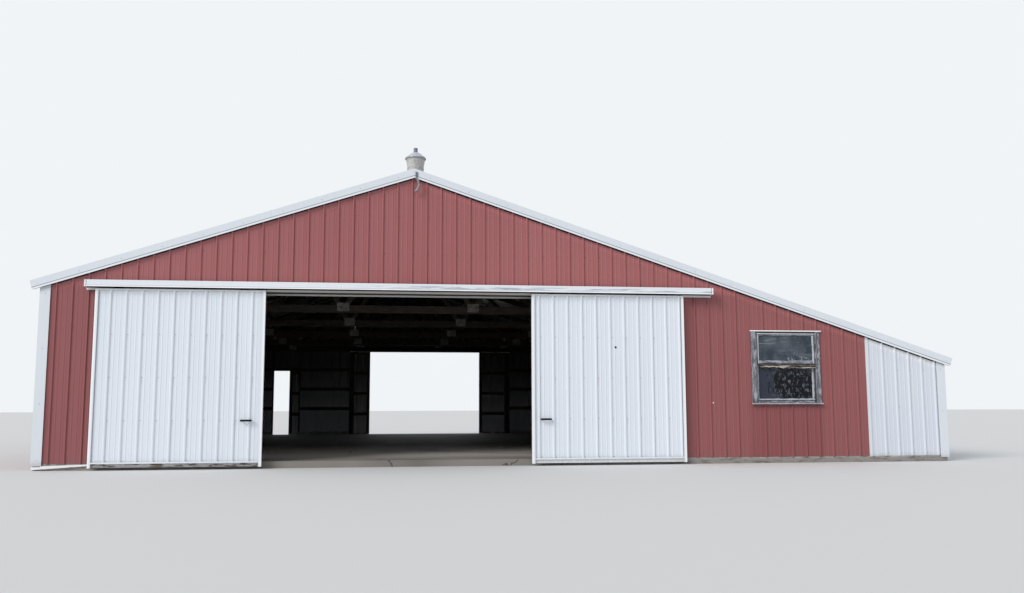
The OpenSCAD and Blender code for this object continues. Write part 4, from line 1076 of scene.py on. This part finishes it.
# %% Door screws: beside each rib, in line with the rails of the leaf's frame
for leaf, shift, end in LEAVES:
    low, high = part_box(leaf + "_door_sheet")
    x, z = crossed(shift + np.arange(11) * RIB_PITCH + SCREW_OFF, LEAF_ROWS)
    places = points_at(x, end * LEAF_FLAT, z)[(x > low.x + 0.06) & (x < high.x - 0.06)]
    piece_from(leaf + "_door_screws", copies(SCREW, (places, (0, end, 0))), white_screw,
               leaf + "_door")
print("door screws:", len(places), "on the last leaf")

# %% [markdown]
# ## The window's putty and its torn strip
#
# Old panes are bedded in putty: a bead with a sloping face round each pane, which shrinks,
# cracks and drops out in bits. It is a triangle carried round a rectangle. For each point of
# the rectangle the bead's inner edge is the nearest point of a slightly smaller rectangle,
# which gives clean mitres with no special case at the corners. A seeded wobble in the bead's
# width makes the chips.

# %% Putty beads
chance = np.random.default_rng(31)

def wobble(count, knots, closed=False):
    """Smooth random values from 0 to 1: knots drawn at random, with cosine steps between."""
    marks = chance.random(knots + 1)
    if closed:
        marks[-1] = marks[0]
    t = np.linspace(0, knots, count, endpoint=not closed)
    k = np.minimum(t.astype(int), knots - 1)
    f = (1 - np.cos((t - k) * np.pi)) / 2
    return marks[k] * (1 - f) + marks[k + 1] * f

def putty_bead(x0, x1, z0, z1, y, width=0.011, steps=60):
    """A bead round a pane. Ring A follows the pane's edge, ring B is each point of A moved
    to the nearest point of the rectangle inset by the width, and ring C is A moved out
    from the glass. Faces join A to B, B to C and C to A."""
    t = np.arange(4 * steps) / steps
    f = t % 1
    on_side = [t < 1, t < 2, t < 3]
    x = np.select(on_side, [x0 + f * (x1 - x0), x1, x1 - f * (x1 - x0)], x0)
    z = np.select(on_side, [z0, z0 + f * (z1 - z0), z1], z1 - f * (z1 - z0))
    w = width * (0.35 + 0.65 * np.clip(1.6 * wobble(len(t), 46, closed=True), 0, 1))
    ring_b = points_at(np.clip(x, x0 + w, x1 - w), y, np.clip(z, z0 + w, z1 - w))
    ring_c = points_at(x, y - width + 0.4 * (width - w), z)
    return np.concatenate([points_at(x, y, z), ring_b, ring_c]), skin(4, len(t)) % (3 * len(t))

putty, at = new_material("old_putty")
crumbs = noise(at, 70.0, 5.0, 0.7)
gone = ramp_up(noise(at, (20.0, 20.0, 20.0)), 0.60, 0.72)
colour = coats((0.52, 0.55, 0.58), (crumbs, (0.30, 0.31, 0.33)), (gone, (0.13, 0.12, 0.11)))
feed(putty, colour, mul_add(crumbs, 0.2, 0.7), mul(crumbs, 0.0008))
for name, foot, head, y in (("upper_putty", MEETING_HEAD, PANE_HEAD, -half_l - 0.015),
                            ("lower_putty", PANE_FOOT, MEETING_FOOT, -half_l + 0.021)):
    piece_from(name, putty_bead(PANE_LEFT, PANE_RIGHT, foot, head, y), putty)

# %% Torn laths below the meeting rail, and the loose strip at the corner
def lath(x, top, foot, y, thick):
    """A thin board along X from arrays: its upper and lower edge and its back plane at each
    step. Eight points round it make a bevelled section, closed at both ends."""
    back, down = np.array([(0, 0.15), (0.2, 0), (0.8, 0), (1, 0.15), (1, 0.8), (0.75, 1), (0.3, 1),
                           (0, 0.85)]).T
    x, top, foot, y = [np.reshape(values, (-1, 1)) for values in (x, top, foot, y)]
    quads = skin(len(x), 8)
    fan = np.array([(0, n + 1, n) for n in range(1, 7)])
    return (points_at(x, y - back * thick, top - down * (top - foot)),
            np.concatenate([quads[:, [0, 1, 2]], quads[:, [0, 2, 3]], fan,
                            fan[:, ::-1] + 8 * (len(x) - 1)]))

def splinter(x0, x1, top0, top1, depth, y, steps=100):
    """A torn lath: it thins to a ragged point at both ends."""
    t = np.linspace(0, 1, steps)
    upper = top0 + (top1 - top0) * t ** 2 - 0.007 * wobble(steps, 9)
    deep = depth * (0.35 + 0.50 * wobble(steps, 17) + 0.35 * wobble(steps, 61))
    deep *= np.clip(np.minimum(t, 1 - t) * 9, 0.10, 1)
    return lath(x0 + t * (x1 - x0), upper, upper - deep, y - 0.003 * wobble(steps, 13), 0.010)

torn, at = new_material("torn_wood")
raw = place(grain, Vector=at, Light=(0.66, 0.60, 0.52), Dark=(0.20, 0.155, 0.12),
            Grey=(0.42, 0.40, 0.37), Greying=0.5)
feed(torn, *raw[:3])
overlay(ramp_up(noise(at, (8.0, 1.0, 70.0), 5.0, 0.65), 0.49, 0.57), (0.040, 0.030, 0.024), 0.9)
pane_y = -half_l - 0.026
overlay(ramp_up(sub(pane_y, axes(at)[1]), 0.0180, 0.0170), (0.014, 0.012, 0.011), 0.9)
LATHS = (("left", 5.575, 6.170, 1.560, 1.551, 0.028, 0.0115),
         ("upper", 5.860, 6.580, 1.571, 1.565, 0.007, 0.0105),
         ("right", 5.930, 6.600, 1.547, 1.537, 0.034, 0.0115),
         ("behind", 5.572, 6.600, 1.586, 1.584, 0.080, 0.002))
for name, x0, x1, top0, top1, depth, lift in LATHS:
    piece_from("torn_lath_" + name, splinter(x0, x1, top0, top1, depth, pane_y - lift), torn)

t = np.linspace(0, 1, 60)
dents = 0.003 * wobble(60, 12)
under_corner = 0.011 * np.clip((0.17 - t) / 0.02, 0, 1)
loose = lath(-5.502 + 0.802 * t, 0.0645 + 0.0245 * t - dents - under_corner,
             0.0120 + 0.0500 * t + dents, -END_FLAT - RIB_H - SHEET_T - 0.002, 0.004)
strip_paint = painted_steel("strip_paint", (0.90, 0.91, 0.93), (0.97, 0.97, 0.98), "plain",
                            **dict(trim_levels, Soiling=0.1))[0]
piece_from("loose_base_strip", loose, strip_paint)
print("laths and loose strip laid")

# %% [markdown]
# ## Foam closures under the roof's edge
#
# Where ribbed sheet ends below a flat trim, the hollows between ribs are stopped with a strip
# of black foam cut to the profile. Seen from the ground it is a row of short dark dashes just
# under the trim, on the white panel above all. The black strip also stands in for the shade in
# the gap under the trim's lip, so it is partly painted shade. It is a bar that runs down the
# slope, with a sagging lower edge, placed deeper than the rib tops so that the ribs break it up.

# %% Foam closures
def closure_bar(side, end, x_end, steps=160):
    """A bar down the slope. With r the height above the roof's plane, its section runs from
    r = -0.132, less its sag, to -0.100, and lies between the flat and the crown of the ribs."""
    x = np.linspace(0.02, x_end, steps)[:, None]
    low = -0.132 + 0.004 * wobble(steps, 40)[:, None]
    r = np.where([True, True, False, False], low, -0.100)
    y = END_FLAT + np.array([0.001, 0.0165, 0.0165, 0.001])
    ends = np.array([(3, 2, 1, 0), np.arange(4) + 4 * (steps - 1)])
    faces = np.concatenate([skin(steps, 4), ends])
    points = points_at(side * x, end * y, RIDGE_Z - x * math.tan(SLOPE) + r / math.cos(SLOPE))
    return points, faces[:, ::-1] if side * end < 0 else faces

# Black foam, which also stands in for the shade in the gap under the trim's lip.
foam_and_shade, at = new_material("closure_foam_and_shade")
pores = noise(at, 300.0, 3.0, 0.7)
feed(foam_and_shade, paint(pores, (0.012, 0.012, 0.013), (0.040, 0.038, 0.036)), mul_add(pores, 0.1, 0.85),
     mul(pores, 0.0006))
for way, end in (("front", -1), ("rear", 1)):
    for hand, side, x_end in (("left", -1, 5.49), ("right", 1, 8.82)):
        bar = closure_bar(side, end, x_end)
        piece_from("%s_%s_closure" % (way, hand), bar, foam_and_shade)
print("closures laid")

# %% [markdown]
# ## Odd fastenings
#
# Two marks make this barn itself: a dark bolt through the middle of the right front door, and
# one bright new screw in the red wall beside it. On the trims the screws stand at equal steps
# along the fold.

# %% Trim screws, the dark bolt and the bright screw
rake_y = -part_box("rake_trims")[0].y - 0.0055
corner_y = END_FLAT + RIB_H + SHEET_T

def along(start, end, step):
    """Equally spaced places from start to end."""
    start, end = np.array(start), np.array(end)
    count = int(np.linalg.norm(end - start) / step) + 1
    return start + np.linspace(0, 1, count)[:, None] * (end - start)

def on_rake(side, end, x):
    """The place on a rake trim's face at x from the ridge, 45 mm below the roof's plane."""
    return side * x, end * rake_y, RIDGE_Z - x * math.tan(SLOPE) - 0.045 / math.cos(SLOPE)

trim_rows = []
for end in (-1, 1):
    for side, x_end in ((-1, 5.55), (1, 8.85)):
        rake_line = along(on_rake(side, end, 0.25), on_rake(side, end, x_end), 0.61)
        trim_rows.append((rake_line, (0, end, 0)))
    for x, top in ((-LEFT_FLAT + 0.055, 2.6), (RIGHT_FLAT - 0.055, 1.5)):
        corner_line = along((x, end * corner_y, 0.15), (x, end * corner_y, top), 0.62)
        trim_rows.append((corner_line, (0, end, 0)))
trim_screw = screw_finish("trim_screw", (0.55, 0.58, 0.63), 0.15)
piece_from("trim_screws", copies(SCREW, *trim_rows), trim_screw)

BOLT = turned_part([(0.0, -0.002), (0.017, -0.002), (0.017, 0.002), (0.0155, 0.006),
                    (0.011, 0.0095), (0.005, 0.0112), (0.0, 0.0115)], 14)
door_bolt = copies(BOLT, (np.array([(3.200, -LEAF_FLAT, 1.841)]), (0, -1, 0)))
piece_from("door_bolt", door_bolt, dark_iron, "front_right_door")
bright_screw = screw_finish("bright_screw", (0.80, 0.74, 0.72), 0.0)
new_screw = copies((BOLT[0] * 0.72, BOLT[1]), (np.array([(4.822, -END_FLAT, 0.962)]), (0, -1, 0)))
piece_from("bright_screw", new_screw, bright_screw)
print("trim screws:", sum(len(places) for places, _ in trim_rows))

# %% [markdown]
# ## Beads and rivets of the ventilator
#
# The ventilator is tinsmith's work. Its flared body is one sheet rolled to shape, stiffened by
# rolled beads, and riveted to the collar. A bead is a ring whose section is a half circle, and
# its radius follows the flare of the body.

# %% Ventilator beads and rivets
vent_low, vent_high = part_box("ventilator_body")
vent_x, vent_y = [(vent_low[n] + vent_high[n]) / 2 for n in (0, 1)]
VENT_FOOT_R = 0.129

def flare_radius(h):
    """Radius of the body at a height from 0 to 1: foot + (top - foot) h to the power 1.25."""
    return VENT_FOOT_R + ((vent_high.x - vent_low.x) / 2 - VENT_FOOT_R) * h ** 1.25

def rolled_bead(h, swell, sides=48):
    """A half-round ring on the body: seven profile points from the wall out and back."""
    x, y = circle(sides)
    bow = np.linspace(-np.pi / 2, np.pi / 2, 7)
    r = flare_radius(h) - 0.0015 + swell * np.cos(bow)
    z = vent_low.z + h * (vent_high.z - vent_low.z) + swell * np.sin(bow)
    return (points_at(vent_x + np.outer(x, r), vent_y + np.outer(y, r), z),
            skin(sides + 1, 7)[:, [0, 3, 2, 1]] % (7 * sides))

for name, h, swell in (("vent_bead_low", 0.10, 0.006), ("vent_bead_high", 0.84, 0.005)):
    piece_from(name, rolled_bead(h, swell), vent_zinc)
x, y = circle(16, 0.1)
rivet_r = flare_radius(0.04)
rivets = points_at(vent_x + rivet_r * x, vent_y + rivet_r * y, vent_low.z + 0.008)
RIVET = turned_part([(0.0, -0.001), (0.0042, -0.001), (0.0036, 0.0016), (0.0018, 0.0026),
                     (0.0, 0.0028)], 8)
riveted = copies(RIVET, (rivets, points_at(x, y, 0.0)))
piece_from("vent_rivets", riveted, vent_zinc)
print("ventilator centre", round(vent_x, 3), round(vent_y, 3))
